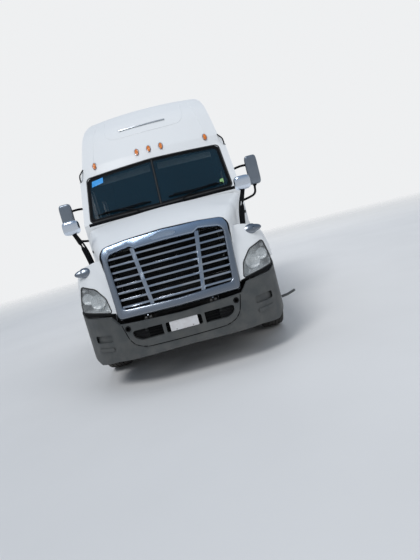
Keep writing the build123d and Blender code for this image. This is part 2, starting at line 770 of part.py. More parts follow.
fender_outer = fender_form(0)
with BuildPart() as arch_liner:
    turned(plain([(560, 640), (1190, 640), (1190, 648), (560, 648)]), FRONT_AXLE, TYRE_RADIUS)
    slab((500, 1250), (500, 2100), (-200, 960), mode=Mode.SUBTRACT)
    mirror(about=Plane.YZ)
    add(fender_outer, mode=Mode.INTERSECT)
with BuildPart() as fenders:
    add(fender_outer)
    add(fender_form(HOOD_WALL), mode=Mode.SUBTRACT)
    add(arch_liner.part)
    add(hood_outer, mode=Mode.SUBTRACT)
    slab((-690, 690), (-100, 2600), (1000, 1600), mode=Mode.SUBTRACT)
    slab((-560, 560), (-100, 2600), (600, 1600), mode=Mode.SUBTRACT)
    add(ahead_of_grille.part, mode=Mode.SUBTRACT)
    add(cowl_clearance.part, mode=Mode.SUBTRACT)
    along(bumper_front, -100, FRONT_AXLE, grow=14, mode=Mode.SUBTRACT)
    slab((-1300, 1300), (-100, FRONT_AXLE), (600, 850), mode=Mode.SUBTRACT)
    slab((-1300, 1300), (400, FRONT_AXLE), (600, 1004), mode=Mode.SUBTRACT)
    for side in (-1, 1):
        near = side * 700
        far = side * 1300
        wheel_arch = plain([(near, 0), (far, 0), (far, ARCH_RADIUS), (near, ARCH_RADIUS)])
        turned(wheel_arch, FRONT_AXLE, TYRE_RADIUS, mode=Mode.SUBTRACT)
    slab((-1300, 1300), (1500, 2600), (600, 780), mode=Mode.SUBTRACT)
    for side in (-1, 1):
        along([(side * x, z, r) for x, z, r in lamp_face], -100, 900, mode=Mode.SUBTRACT)
write(fenders, "fenders")

with BuildPart() as headlamps:
    add(fender_outer)
    add(fender_form(HOOD_WALL + 60), mode=Mode.SUBTRACT)
    add(hood_outer, mode=Mode.SUBTRACT)
    with BuildPart(mode=Mode.PRIVATE) as lamp_prisms:
        for side in (-1, 1):
            along([(side * x, z, r) for x, z, r in lamp_face], -100, 900)
    add(lamp_prisms.part, mode=Mode.INTERSECT)
write(headlamps, "headlamps")

hood_mirror_arm = [(880, 1380, 0), (985, 1380, 0), (1105, 1850, 0), (1065, 1850, 0)]
with BuildPart() as hood_mirrors:
    along(hood_mirror_arm, 730, 790)
    slab((980, 1200), (710, 800), (1850, 1990))
    fillet(hood_mirrors.edges().filter_by(Axis.Y).group_by(Axis.Z)[-1], 40)
    mirror(about=Plane.YZ)
    add(fender_outer, mode=Mode.SUBTRACT)
write(hood_mirrors, "hood_mirrors")

# Steps under the doors, with two treads cut into each side.
with BuildPart() as cab_steps:
    slab((760, 1195), (1915, 2950), (380, 1035))
    slab((1010, 1250), (2050, 2850), (430, 610), mode=Mode.SUBTRACT)
    slab((1060, 1250), (2050, 2850), (680, 900), mode=Mode.SUBTRACT)
    for station in (2150, 2700):
        slab((RAIL_OUT, 760), (station, station + 80), (790, 950))
    mirror(about=Plane.YZ)
write(cab_steps, "cab_steps")

# Fuel tanks: drums with rounded ends, held to the rails by brackets and straps.
TANK_RADIUS = 300
TANK_X = 800
TANK_Z = 650
with BuildPart() as fuel_tanks:
    rod((TANK_X, 3080, TANK_Z), (TANK_X, 4700, TANK_Z), TANK_RADIUS)
    fillet(fuel_tanks.edges().filter_by(GeomType.CIRCLE), 40)
    mirror(about=Plane.YZ)
write(fuel_tanks, "fuel_tanks")

with BuildPart() as tank_brackets:
    for station in (3350, 4350):
        slab((RAIL_OUT, 520), (station, station + 80), (420, 960))
        slab((RAIL_OUT, TANK_X), (station, station + 80), (335, 420))
        rod((TANK_X, station, TANK_Z), (TANK_X, station + 80, TANK_Z), TANK_RADIUS + 8)
    for station in (3350, 4350):
        rod((TANK_X, station - 1, TANK_Z), (TANK_X, station + 81, TANK_Z), TANK_RADIUS, mode=Mode.SUBTRACT)
    mirror(about=Plane.YZ)
write(tank_brackets, "tank_brackets")

with BuildPart() as deck_plate:
    slab((-RAIL_OUT, RAIL_OUT), (5100, 5780), (RAIL_TOP, RAIL_TOP + 12))
write(deck_plate, "deck_plate")

# Fifth wheel: base ears on the rails, and a tilting plate with its throat and kingpin seat.
PLATE_PIN_Z = 1120
KINGPIN_BORE = 25.6
ear = [(6940, RAIL_TOP + 14, 0), (7220, RAIL_TOP + 14, 0), (7105, 1146, 24), (7055, 1146, 24)]
with BuildPart() as fifth_wheel_base:
    slab((320, RAIL_OUT), (6900, 7260), (RAIL_TOP, RAIL_TOP + 15))
    for low, high in ((340, 356), (404, 420)):
        across(ear, low, high)
    rod((340, FIFTH_WHEEL, PLATE_PIN_Z), (420, FIFTH_WHEEL, PLATE_PIN_Z), 18)
    mirror(about=Plane.YZ)
write(fifth_wheel_base, "fifth_wheel_base")

plate_plan = symmetric(
    [
        (0, 6690, 0),
        (300, 6690, 150),
        (455, 6850, 200),
        (455, 7250, 150),
        (330, 7520, 60),
        (190, 7520, 40),
        (30, 7160, 0),
        (0, 7160, 0),
    ]
)
with BuildPart() as fifth_wheel_plate:
    upward(plate_plan, 1162, 1200)
    rod((0, FIFTH_WHEEL, 1150), (0, FIFTH_WHEEL, 1210), KINGPIN_BORE, mode=Mode.SUBTRACT)
    slab((-KINGPIN_BORE, KINGPIN_BORE), (FIFTH_WHEEL, 7200), (1150, 1210), mode=Mode.SUBTRACT)
    for side in (-1, 1):
        lug = sorted((side * 358, side * 402))
        slab(lug, (FIFTH_WHEEL - 28, FIFTH_WHEEL + 28), (PLATE_PIN_Z - 28, 1165))
        bore = ((side * x, FIFTH_WHEEL, PLATE_PIN_Z) for x in (350, 410))
        rod(*bore, 19, mode=Mode.SUBTRACT)
write(fifth_wheel_plate, "fifth_wheel_plate")

# Rear end: hanger bars, flaps and the lamp bar.
with BuildPart() as mudflaps:
    slab((RAIL_OUT, 1215), (8280, 8320), (930, 970))
    slab((610, 1215), (8295, 8303), (260, 932))
    mirror(about=Plane.YZ)
write(mudflaps, "mudflaps")

with BuildPart() as tail_lamps:
    slab((-400, 400), (FRAME_END, LENGTH - 8), (840, 960))
    for x in (190, 330):
        rod((x, FRAME_END, 900), (x, LENGTH, 900), 50)
        rod((-x, FRAME_END, 900), (-x, LENGTH, 900), 50)
write(tail_lamps, "tail_lamps")


# Wheels. Tyre rows are how far in from the half-width, and the radius.
TYRE_ROWS = ((22, BEAD_RADIUS), (0, 380), (8, 470), (30, TYRE_RADIUS))


def tyre(middle, width, station):
    """A tyre's closed ring about its middle plane."""
    half = width / 2
    right = [(middle + half - inset, radius) for inset, radius in TYRE_ROWS]
    left = [(middle - half + inset, radius) for inset, radius in reversed(TYRE_ROWS)]
    turned(plain(right + left), station, TYRE_RADIUS)


steer_rim = plain(
    [
        (912, 262),
        (912, 302),
        (922, BEAD_RADIUS),
        (1168, BEAD_RADIUS),
        (1180, 302),
        (1180, 262),
        (1135, 250),
        (1158, 170),
        (1158, 95),
        (1192, 80),
        (1192, 0),
        (1125, 0),
        (1125, 42),
        (962, 42),
        (962, 130),
        (1125, 130),
        (1095, 262),
    ]
)
twin_rim = plain(
    [
        (608, 262),
        (608, 302),
        (620, BEAD_RADIUS),
        (852, BEAD_RADIUS),
        (864, 302),
        (864, 262),
        (830, 262),
        (905, 175),
        (905, 262),
        (951, 302),
        (963, BEAD_RADIUS),
        (1195, BEAD_RADIUS),
        (1207, 302),
        (1207, 262),
        (985, 262),
        (930, 170),
        (930, 130),
        (1130, 110),
        (1160, 90),
        (1160, 0),
        (1136, 0),
        (1136, 50),
        (760, 50),
        (760, 160),
        (880, 170),
        (800, 262),
    ]
)
for side, name in ((1, "left"), (-1, "right")):
    with BuildPart() as tyre_front:
        tyre(side * STEER_TYRE_X, STEER_TYRE_WIDTH, FRONT_AXLE)
    write(tyre_front, f"tyre_front_{name}")
    with BuildPart() as rim_front:
        turned([(side * x, r, 0) for x, r, _ in steer_rim], FRONT_AXLE, TYRE_RADIUS)
    write(rim_front, f"rim_front_{name}")
    for station, place in zip(DRIVE_AXLES, ("front", "rear")):
        with BuildPart() as tyres_drive:
            for middle in DRIVE_TYRE_X:
                tyre(side * middle, DRIVE_TYRE_WIDTH, station)
        write(tyres_drive, f"tyres_drive_{place}_{name}")
        with BuildPart() as rims_drive:
            turned([(side * x, r, 0) for x, r, _ in twin_rim], station, TYRE_RADIUS)
        write(rims_drive, f"rims_drive_{place}_{name}")
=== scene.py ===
"""Looks of a white raised-roof sleeper tractor unit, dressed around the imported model."""

import json
import math

import bmesh
import bpy
from mathutils import Matrix, Vector

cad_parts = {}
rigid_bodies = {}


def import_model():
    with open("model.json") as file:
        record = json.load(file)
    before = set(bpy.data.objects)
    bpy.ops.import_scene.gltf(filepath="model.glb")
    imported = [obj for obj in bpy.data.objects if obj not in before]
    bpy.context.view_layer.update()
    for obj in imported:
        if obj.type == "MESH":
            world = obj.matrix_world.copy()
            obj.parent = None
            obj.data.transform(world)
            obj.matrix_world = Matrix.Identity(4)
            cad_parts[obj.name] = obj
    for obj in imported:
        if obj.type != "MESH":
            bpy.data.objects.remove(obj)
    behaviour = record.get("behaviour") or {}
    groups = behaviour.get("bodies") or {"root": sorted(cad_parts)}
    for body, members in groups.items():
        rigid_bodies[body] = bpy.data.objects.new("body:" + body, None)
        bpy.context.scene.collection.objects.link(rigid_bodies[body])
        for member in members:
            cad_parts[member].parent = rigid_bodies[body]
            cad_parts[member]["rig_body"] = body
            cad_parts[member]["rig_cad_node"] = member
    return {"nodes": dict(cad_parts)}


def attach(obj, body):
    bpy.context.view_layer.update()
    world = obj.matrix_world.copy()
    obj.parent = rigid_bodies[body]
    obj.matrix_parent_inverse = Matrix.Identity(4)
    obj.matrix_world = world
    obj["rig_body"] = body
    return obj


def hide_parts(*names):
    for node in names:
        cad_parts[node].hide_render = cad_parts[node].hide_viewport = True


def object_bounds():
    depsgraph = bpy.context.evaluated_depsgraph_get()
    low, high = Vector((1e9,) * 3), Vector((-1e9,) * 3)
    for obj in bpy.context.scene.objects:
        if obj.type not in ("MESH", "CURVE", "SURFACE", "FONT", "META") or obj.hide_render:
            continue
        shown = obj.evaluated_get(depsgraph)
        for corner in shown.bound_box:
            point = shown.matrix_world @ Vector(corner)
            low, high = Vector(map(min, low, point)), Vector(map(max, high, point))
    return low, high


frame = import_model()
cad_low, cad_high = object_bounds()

NODES = frame["nodes"]
FRONT = cad_low.y
SIDES = ((1, "left"), (-1, "right"))
DOOR = "entry_door_SIDE"
ACROSS, LENGTHWISE, UPRIGHT = (1, 0, 0), (0, 1, 0), (0, 0, 1)


# A place is given as x, the distance behind the bumper's foremost point (its station), and height.
def at(x, station, z):
    """A place in the frame's own coordinates."""
    return Vector((x, FRONT + station, z))


# Camera, at the photograph's place and roll.
CAMERA_PLACE = (0.358376, -8.613521, 1.530169)
CAMERA_YAW = math.radians(0.265636)
CAMERA_PITCH = math.radians(7.157666)
CAMERA_ROLL = math.radians(-15.009109)
FOCAL_PIXELS = 428.907
FRAME_LONG_SIDE = 560
SENSOR = 36.0
FARTHEST = 200


def set_camera():
    """Adds the camera from its yaw, pitch down and roll."""
    bpy.ops.object.camera_add(location=CAMERA_PLACE)
    camera = bpy.context.object
    camera.data.sensor_width = SENSOR
    camera.data.lens = FOCAL_PIXELS / FRAME_LONG_SIDE * SENSOR
    camera.data.clip_end = FARTHEST
    heading = Matrix.Rotation(-CAMERA_YAW, 4, "Z")
    dip = Matrix.Rotation(math.pi / 2 - CAMERA_PITCH, 4, "X")
    roll = Matrix.Rotation(CAMERA_ROLL, 4, "Z")
    camera.matrix_world = Matrix.Translation(CAMERA_PLACE) @ heading @ dip @ roll
    bpy.context.scene.camera = camera


set_camera()


# Materials.
FINISHES = {}
ROAD_DUST = (0.36, 0.33, 0.28)
DUST_HEIGHTS = (0.1, 1.4)


class Shading:
    """A node tree whose nodes are added and joined by name."""

    def __init__(self, owner):
        owner.use_nodes = True
        self.tree = owner.node_tree

    def node(self, kind, **inputs):
        """Adds a node, with inputs given as values or as sockets to join."""
        made = self.tree.nodes.new(kind)
        for name, value in inputs.items():
            self.feed(made.inputs[name.replace("_", " ")], value)
        return made

    def feed(self, socket, value):
        """Sets a socket, or joins it to another node's output."""
        if isinstance(value, bpy.types.NodeSocket):
            self.tree.links.new(value, socket)
        else:
            socket.default_value = value


class Finish(Shading):
    """A material that starts from the object's own coordinates, kept in FINISHES by its name."""

    def __init__(self, name):
        FINISHES[name] = self.material = bpy.data.materials.new(name)
        super().__init__(self.material)
        self.shader = self.tree.nodes["Principled BSDF"]
        self.place = self.node("ShaderNodeTexCoord").outputs["Object"]

    def set(self, **values):
        """Sets or joins the shader's own sockets."""
        for name, value in values.items():
            self.feed(self.shader.inputs[name.replace("_", " ")], value)

    def stretched(self, scale):
        """The object's coordinates, squeezed along each axis."""
        return self.node("ShaderNodeMapping", Vector=self.place, Scale=scale).outputs["Vector"]

    def noise(self, size, detail=4.0, scale=None):
        """Cloudy noise with features of about the size given in metres."""
        place = self.stretched(scale) if scale else self.place
        return self.node("ShaderNodeTexNoise", Vector=place, Scale=1 / size, Detail=detail).outputs["Fac"]

    def span(self, value, low, high, start=0.3, end=0.7):
        """Carries a value between two limits onto a new range."""
        limits = {"From_Min": start, "From_Max": end, "To_Min": low, "To_Max": high}
        return self.node("ShaderNodeMapRange", Value=value, **limits).outputs["Result"]

    def blend(self, share, first, second):
        """Mixes two colours by a share."""
        made = self.tree.nodes.new("ShaderNodeMix")
        made.data_type = "RGBA"
        self.feed(made.inputs[0], share)
        for socket, colour in ((made.inputs[6], first), (made.inputs[7], second)):
            self.feed(socket, colour if isinstance(colour, bpy.types.NodeSocket) else (*colour, 1))
        return made.outputs[2]

    def times(self, first, second):
        """Multiplies two values."""
        made = self.tree.nodes.new("ShaderNodeMath")
        made.operation = "MULTIPLY"
        self.feed(made.inputs[0], first)
        self.feed(made.inputs[1], second)
        return made.outputs["Value"]

    def height(self):
        """The height above the road."""
        return self.node("ShaderNodeSeparateXYZ", Vector=self.place).outputs["Z"]

    def relief(self, height, depth, strength=1.0):
        """Roughens the surface by a height of some depth in metres."""
        bump = self.node("ShaderNodeBump", Height=height, Distance=depth, Strength=strength)
        if self.shader.inputs["Normal"].is_linked:
            self.feed(bump.inputs["Normal"], self.shader.inputs["Normal"].links[0].from_socket)
        self.set(Normal=bump.outputs["Normal"])

    def ribs(self, direction, scale, depth, distortion=0.0, strength=1.0):
        """Roughens the surface with ribs across one direction."""
        wave = self.node("ShaderNodeTexWave", Vector=self.place, Scale=scale, Distortion=distortion)
        wave.bands_direction = direction
        self.relief(wave.outputs["Fac"], depth, strength)


def plain(name, colour, shade, roughness, spread=0.08, patch=0.25, grain=None, dust=0.0, **fixed):
    """Colour that drifts between two shades, uneven gloss, fine grain, and road dust low down."""
    made = Finish(name)
    mottled = made.blend(made.span(made.noise(patch), 0, 1), colour, shade)
    if dust:
        low_down = made.span(made.height(), dust, 0, *DUST_HEIGHTS)
        settled = made.times(low_down, made.span(made.noise(0.12, 8.0), 0.2, 1, 0.35, 0.65))
        mottled = made.blend(settled, mottled, ROAD_DUST)
    made.set(Base_Color=mottled, Roughness=roughness, **fixed)
    if spread:
        made.set(Roughness=made.span(made.noise(patch / 3, 6.0), roughness - spread, roughness + spread))
    if grain:
        size, depth = grain
        made.relief(made.noise(size, 2.0), depth)
    return made


def make_finishes():
    """All the materials."""
    plain(
        "white_paint", (0.80, 0.81, 0.815), (0.77, 0.78, 0.785), 0.48, 0, 2, None, 0.08,
        Coat_Weight=0.15, Coat_Roughness=0.22,
    )
    plain(
        "bumper_plastic", (0.054, 0.06, 0.062), (0.044, 0.049, 0.051), 0.52, 0.08, 0.3,
        (0.0016, 0.0002), 0.16,
    )
    plain(
        "black_plastic", (0.0045, 0.005, 0.006), (0.008, 0.0085, 0.0095), 0.55, 0.08, 0.2,
        (0.0014, 0.0001), 0.04, Specular_IOR_Level=0.06,
    )
    plain(
        "chassis_paint", (0.012, 0.0125, 0.014), (0.022, 0.021, 0.02), 0.55, 0.12, 0.3, (0.01, 0.0003),
        0.14,
    )
    plain("rubber", (0.02, 0.02, 0.021), (0.032, 0.031, 0.03), 0.75, 0.08, 0.1, (0.002, 0.0003))
    plain("bar_chrome", (0.44, 0.48, 0.54), (0.38, 0.42, 0.48), 0.2, 0, 0.4, Metallic=1)
    plain("bright_chrome", (0.80, 0.86, 0.95), (0.74, 0.81, 0.91), 0.2, 0, 0.4, Metallic=1)
    plain(
        "satin_silver", (0.52, 0.55, 0.58), (0.44, 0.47, 0.5), 0.32, 0.06, 0.2, (0.003, 0.00004),
        Metallic=0.85,
    )
    plain("mirror_shell", (0.24, 0.27, 0.31), (0.20, 0.23, 0.27), 0.34, 0, 0.3, Metallic=0.75)
    plain(
        "bare_steel", (0.3, 0.29, 0.28), (0.2, 0.17, 0.14), 0.45, 0.12, 0.06, (0.006, 0.0004),
        Metallic=0.9,
    )
    plain(
        "engine_paint", (0.2, 0.21, 0.22), (0.12, 0.125, 0.13), 0.5, 0.1, 0.15, (0.008, 0.0006),
        Metallic=0.4,
    )
    plain(
        "greased_steel", (0.05, 0.045, 0.04), (0.14, 0.135, 0.13), 0.3, 0.15, 0.09, (0.012, 0.0008),
        Metallic=0.7,
    )
    plain("cab_vinyl", (0.16, 0.165, 0.17), (0.13, 0.135, 0.14), 0.6, 0.08, 0.2, (0.002, 0.0003))
    plain("blank_plate", (0.72, 0.72, 0.73), (0.62, 0.6, 0.6), 0.4, 0.1, 0.05, (0.01, 0.0003))
    plain("blue_card", (0.02, 0.28, 0.72), (0.03, 0.34, 0.78), 0.4, 0.05, 0.05)
    plain("green_card", (0.22, 0.42, 0.16), (0.3, 0.5, 0.2), 0.4, 0.05, 0.03)
    plain("grey_lining", (0.050, 0.055, 0.057), (0.042, 0.046, 0.048), 0.8, 0.05, 0.1, (0.003, 0.0004))
    plain("visor_cloth", (0.70, 0.78, 0.76), (0.60, 0.68, 0.66), 0.8, 0.05, 0.1)
    plain("wheel_aluminium", (0.62, 0.63, 0.64), (0.58, 0.58, 0.59), 0.27, 0, 0.5, None, 0.03, Metallic=1)
    plain(
        "tyre_rubber", (0.022, 0.022, 0.023), (0.04, 0.038, 0.035), 0.82, 0.06, 0.07, (0.003, 0.0006),
        0.12,
    )
    plain(
        "mattress_cloth", (0.34, 0.35, 0.37), (0.28, 0.29, 0.31), 0.9, 0.04, 0.2, (0.003, 0.0005),
        Sheen_Weight=0.3, Sheen_Roughness=0.5,
    )
    plain("mirror_glass", (0.8, 0.83, 0.86), (0.75, 0.78, 0.81), 0.03, 0.015, 0.1, Metallic=1)

    # Painted reflection: the chrome turns from bluish grey below 1.42 m to light blue above 1.58 m, standing
    # in for sky reflected in its upper faces.
    chrome = Finish("chrome")
    painted_sky_reflection = chrome.span(chrome.height(), 0, 1, 1.42, 1.58)
    tint = chrome.blend(painted_sky_reflection, (0.275, 0.300, 0.340), (0.36, 0.455, 0.59))
    chrome.set(Base_Color=tint, Roughness=0.24, Metallic=1)

    aluminium = plain(
        "polished_aluminium", (0.72, 0.73, 0.74), (0.68, 0.69, 0.70), 0.27, 0, 0.8, dust=0.015, Metallic=1,
    )
    aluminium.relief(aluminium.noise(0.003, 2.0, (1, 0.02, 1)), 0.00001)

    plain("radiator_core", (0.012, 0.012, 0.013), (0.02, 0.02, 0.021), 0.6).ribs("Z", 60, 0.002)
    plain(
        "reflector", (0.86, 0.88, 0.88), (0.74, 0.77, 0.77), 0.3, 0.08, 0.03, Metallic=0.55,
    ).ribs("X", 24, 0.004)
    cloth = plain(
        "seat_cloth", (0.07, 0.075, 0.085), (0.1, 0.105, 0.115), 0.85, 0.05, 0.08,
        Sheen_Weight=0.4, Sheen_Roughness=0.5,
    )
    for direction in ("X", "Z"):
        cloth.ribs(direction, 160, 0.0006, 0.6, 0.6)

    tread = plain("tread_plate", (0.5, 0.5, 0.5), (0.38, 0.37, 0.36), 0.35, 0.1, 0.1, dust=0.25, Metallic=1)
    weave = tread.node("ShaderNodeTexVoronoi", Vector=tread.stretched((1, 0.45, 1)), Scale=45)
    tread.relief(tread.span(weave.outputs["Distance"], 1, 0, 0.2, 0.4), 0.003)

    for name, colour, solidity in (
        ("glass", (0.001, 0.024, 0.042), 0.50),
        ("side_glass", (0.008, 0.022, 0.026), 0.55),
        ("clear_lens", (0.86, 0.89, 0.90), 0.10),
    ):
        pane = Finish(name)
        tint = [share * 0.85 for share in colour]
        pane.set(Base_Color=pane.blend(pane.span(pane.noise(0.5), 0, 1), colour, tint))
        pane.set(Roughness=pane.span(pane.noise(0.3), 0.02, 0.035))
        pane.set(Alpha=solidity, IOR=1.5, Coat_Weight=0.5, Coat_Roughness=0.02)

    for name, colour, deep in (
        ("amber_lens", (0.85, 0.26, 0.02), (0.6, 0.12, 0.01)),
        ("red_lens", (0.6, 0.015, 0.012), (0.35, 0.008, 0.008)),
    ):
        lens = plain(name, colour, deep, 0.12, 0.04, 0.01, Coat_Weight=0.8, Coat_Roughness=0.04)
        cells = lens.node("ShaderNodeTexVoronoi", Vector=lens.place, Scale=180)
        lens.relief(cells.outputs["Distance"], 0.0015)


make_finishes()

# Finishes of the CAD nodes that stay visible.
NODE_FINISHES = {
    "white_paint": (
        "cab_shell roof_cap side_extenders door_left door_right baggage_door_left baggage_door_right "
        "hood_panel fenders"
    ),
    "bumper_plastic": "bumper",
    "black_plastic": "bumper_insert cab_steps",
    "chassis_paint": (
        "ladder_frame crossmembers front_axle leaf_springs knuckle_left knuckle_right drive_axles "
        "air_suspension fifth_wheel_base"
    ),
    "bare_steel": "tie_rod driveshaft",
    "engine_paint": "powertrain",
    "radiator_core": "radiator",
    "glass": "windshield_glass",
    "side_glass": "sleeper_windows door_glass_left door_glass_right",
    "amber_lens": "roof_markers",
    "cab_vinyl": "dashboard",
    "polished_aluminium": "fuel_tanks",
    "satin_silver": "tank_brackets",
    "tread_plate": "deck_plate",
    "greased_steel": "fifth_wheel_plate",
    "rubber": "mudflaps",
}
for finish_name, node_names in NODE_FINISHES.items():
    for node_name in node_names.split():
        materials = NODES[node_name].data.materials
        materials.clear()
        materials.append(FINISHES[finish_name])

# The slot for each finish, unless another is given; dress looks it up but does not give it to the piece.
SLOTS = {
    finish: slot
    for slot, finishes in {
        "trim_black": "black_plastic bumper_plastic blue_card green_card",
        "rubber_black": "rubber",
        "chrome_trim": "chrome bar_chrome bright_chrome reflector satin_silver",
        "mirror_silver": "mirror_shell mirror_glass",
        "bare_steel": "bare_steel blank_plate",
        "chassis_black": "chassis_paint",
        "lamp_lens": "clear_lens",
        "amber_lens": "amber_lens",
        "red_lens": "red_lens",
        "body_white": "white_paint",
        "cab_grey": "cab_vinyl grey_lining visor_cloth",
        "seat_fabric": "seat_cloth mattress_cloth",
        "tank_aluminium": "polished_aluminium",
        "wheel_aluminium": "wheel_aluminium",
        "tyre_rubber": "tyre_rubber",
    }.items()
    for finish in finishes.split()
}


# Modelling calls shared by the pieces.
SMOOTH_BELOW = math.radians(38)
MERGE_REACH = 0.00005
CAD_MERGE_REACH = 0.0001
BEND_STEPS = 5


def calm():
    """Leaves edit mode and lets go of every object."""
    if bpy.context.object and bpy.context.object.mode != "OBJECT":
        bpy.ops.object.mode_set(mode="OBJECT")
    bpy.ops.object.select_all(action="DESELECT")


def take(piece):
    """Makes one piece the only selected and active one."""
    calm()
    piece.select_set(True)
    bpy.context.view_layer.objects.active = piece


def select_all():
    """Selects the whole of the open piece."""
    bpy.ops.mesh.select_all(action="SELECT")


def enter(piece):
    """Opens a piece for editing with everything selected."""
    take(piece)
    bpy.ops.object.mode_set(mode="EDIT")
    select_all()


def leave(piece=None):
    """Closes the open piece."""
    bpy.ops.object.mode_set(mode="OBJECT")
    return piece


def choose(piece, test, kind="FACE"):
    """In edit mode, selects the faces, edges or points that pass a test."""
    bpy.ops.mesh.select_mode(type=kind)
    bpy.ops.mesh.select_all(action="DESELECT")
    mesh = bmesh.from_edit_mesh(piece.data)
    for part in {"FACE": mesh.faces, "EDGE": mesh.edges, "VERT": mesh.verts}[kind]:
        if test(part):
            part.select_set(True)
    mesh.select_flush_mode()
    bmesh.update_edit_mesh(piece.data)


def modify(piece, kind, **settings):
    """Adds a modifier with its settings and applies it."""
    take(piece)
    tool = piece.modifiers.new(kind.lower(), kind)
    for name, value in settings.items():
        setattr(tool, name, value)
    bpy.ops.object.modifier_apply(modifier=tool.name)
    return piece


def settle(piece):
    """Moves a piece's place, turn and size into its mesh."""
    take(piece)
    bpy.ops.object.transform_apply(location=True, rotation=True, scale=True)
    return piece


def soften(piece, width, segments=2, angle=40):
    """Rounds the edges of a piece."""
    limit = math.radians(angle)
    return modify(piece, "BEVEL", width=width, segments=segments, limit_method="ANGLE", angle_limit=limit)


def thicken(piece, thickness, side=-1):
    """Gives a sheet a thickness, behind it or ahead of it."""
    return modify(piece, "SOLIDIFY", thickness=thickness, offset=side)


def without(piece, test):
    """Deletes the faces that pass a test."""
    enter(piece)
    choose(piece, test)
    bpy.ops.mesh.delete(type="FACE")
    return leave(piece)


def grown(piece, value):
    """Moves a piece's whole skin outwards."""
    enter(piece)
    bpy.ops.transform.shrink_fatten(value=value)
    return leave(piece)


def framed(piece, test, rims, push):
    """Insets the faces that pass a test, once for each rim, and pushes them."""
    enter(piece)
    choose(piece, test)
    for rim in rims:
        bpy.ops.mesh.inset(thickness=rim)
    bpy.ops.transform.translate(value=push)
    return leave(piece)


def topped(piece, push=(0, 0, 0), size=(1, 1, 1)):
    """Pushes a piece's upper faces and sizes them."""
    enter(piece)
    choose(piece, lambda face: face.normal.z > 0.9)
    bpy.ops.transform.translate(value=push)
    bpy.ops.transform.resize(value=size)
    return leave(piece)


def sliced(piece, place, aim):
    """Cuts off what lies beyond a plane and closes the cut."""
    enter(piece)
    bpy.ops.mesh.bisect(plane_co=place, plane_no=aim, use_fill=True, clear_outer=True)
    return leave(piece)


def joined(group):
    """Joins pieces into the first."""
    calm()
    for piece in group:
        piece.select_set(True)
    bpy.context.view_layer.objects.active = group[0]
    bpy.ops.object.join()
    return bpy.context.object


def flipped(piece):
    """A copy of a piece on the other side of the vehicle."""
    take(piece)
    bpy.ops.object.duplicate()
    other = bpy.context.object
    other.scale.x = -1
    enter(settle(other))
    bpy.ops.mesh.normals_make_consistent(inside=False)
    return leave(other)


def dress(piece, name, finish, body="tractor", slot=None):
    """Names a finished piece, gives it its finish and lets it ride on a body."""
    take(piece)
    bpy.ops.object.shade_smooth_by_angle(angle=SMOOTH_BELOW)
    piece.name = name
    piece.data.name = name
    piece.data.materials.clear()
    piece.data.materials.append(FINISHES[finish])
    slot = slot or SLOTS[finish]
    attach(piece, body)
    return piece


def pair(piece, name, finish, body="tractor", slot=None):
    """Dresses a piece on the left and its copy on the right, each with its side's name and body."""
    return [
        dress(made, f"{name}_{side}", finish, body.replace("SIDE", side), slot)
        for made, (_, side) in zip((piece, flipped(piece)), SIDES)
    ]


def block(x, station, z, soft=0.0, segments=2):
    """A block between low and high limits, with rounded edges."""
    calm()
    low, high = (at(*corner) for corner in zip(x, station, z))
    bpy.ops.mesh.primitive_cube_add(size=1, location=(low + high) / 2)
    piece = bpy.context.object
    piece.scale = high - low
    settle(piece)
    return soften(piece, soft, segments) if soft else piece


def drum(start, end, radius, sides=24, soft=0.0):
    """A round bar between two places."""
    calm()
    start, end = at(*start), at(*end)
    bpy.ops.mesh.primitive_cone_add(
        vertices=sides, radius1=radius, radius2=radius, depth=(end - start).length,
        location=(start + end) / 2, rotation=(end - start).to_track_quat("Z", "Y").to_euler(),
    )
    piece = settle(bpy.context.object)
    return soften(piece, soft) if soft else piece


def trace(places, closed=False, rounding=0.0):
    """A run of edges through coordinates, grown from one point, left open for editing."""
    calm()
    bpy.ops.mesh.primitive_plane_add(size=0.01, location=places[0])
    piece = settle(bpy.context.object)
    enter(piece)
    bpy.ops.mesh.select_mode(type="VERT")
    select_all()
    bpy.ops.mesh.merge(type="CENTER")
    for before, after in zip(places, places[1:]):
        bpy.ops.mesh.extrude_region_move(TRANSFORM_OT_translate={"value": after - before})
    if closed:
        choose(piece, lambda point: point.index in (0, len(places) - 1), "VERT")
        bpy.ops.mesh.edge_face_add()
    if rounding:
        choose(piece, lambda point: len(point.link_edges) == 2, "VERT")
        bpy.ops.mesh.bevel(offset=rounding, segments=BEND_STEPS, affect="VERTICES")
    return piece


def pushed(piece, push):
    """Extrudes everything in the open piece along a vector and closes it, facing outwards."""
    select_all()
    bpy.ops.mesh.extrude_region_move(TRANSFORM_OT_translate={"value": push})
    select_all()
    bpy.ops.mesh.normals_make_consistent(inside=False)
    return leave(piece)


def board(places, push, rounding=0.0, soft=0.0):
    """A closed outline filled and pushed out along a vector."""
    piece = trace([at(*place) for place in places], True, rounding)
    select_all()
    bpy.ops.mesh.edge_face_add()
    bpy.ops.mesh.select_mode(type="FACE")
    pushed(piece, push)
    return soften(piece, soft) if soft else piece


def curtain(places, push, thickness):
    """A thin wall along a run of places."""
    return thicken(pushed(trace([at(*place) for place in places]), push), thickness, 0)


def lay_on(piece, node, axis="Y", forward=True, gap=0.0):
    """Drops a piece onto a CAD node's skin along an axis."""
    return modify(
        piece, "SHRINKWRAP", target=NODES[node], offset=gap,
        wrap_method="PROJECT", wrap_mode="ABOVE_SURFACE",
        use_project_x=axis == "X", use_project_y=axis == "Y",
        use_positive_direction=forward, use_negative_direction=not forward,
    )


def beaded(piece, radius):
    """Turns a run of edges into a round bead."""
    take(piece)
    bpy.ops.object.convert(target="CURVE")
    curve = bpy.context.object.data
    curve.bevel_depth = radius
    curve.bevel_resolution = 2
    curve.use_fill_caps = True
    bpy.ops.object.convert(target="MESH")
    return bpy.context.object


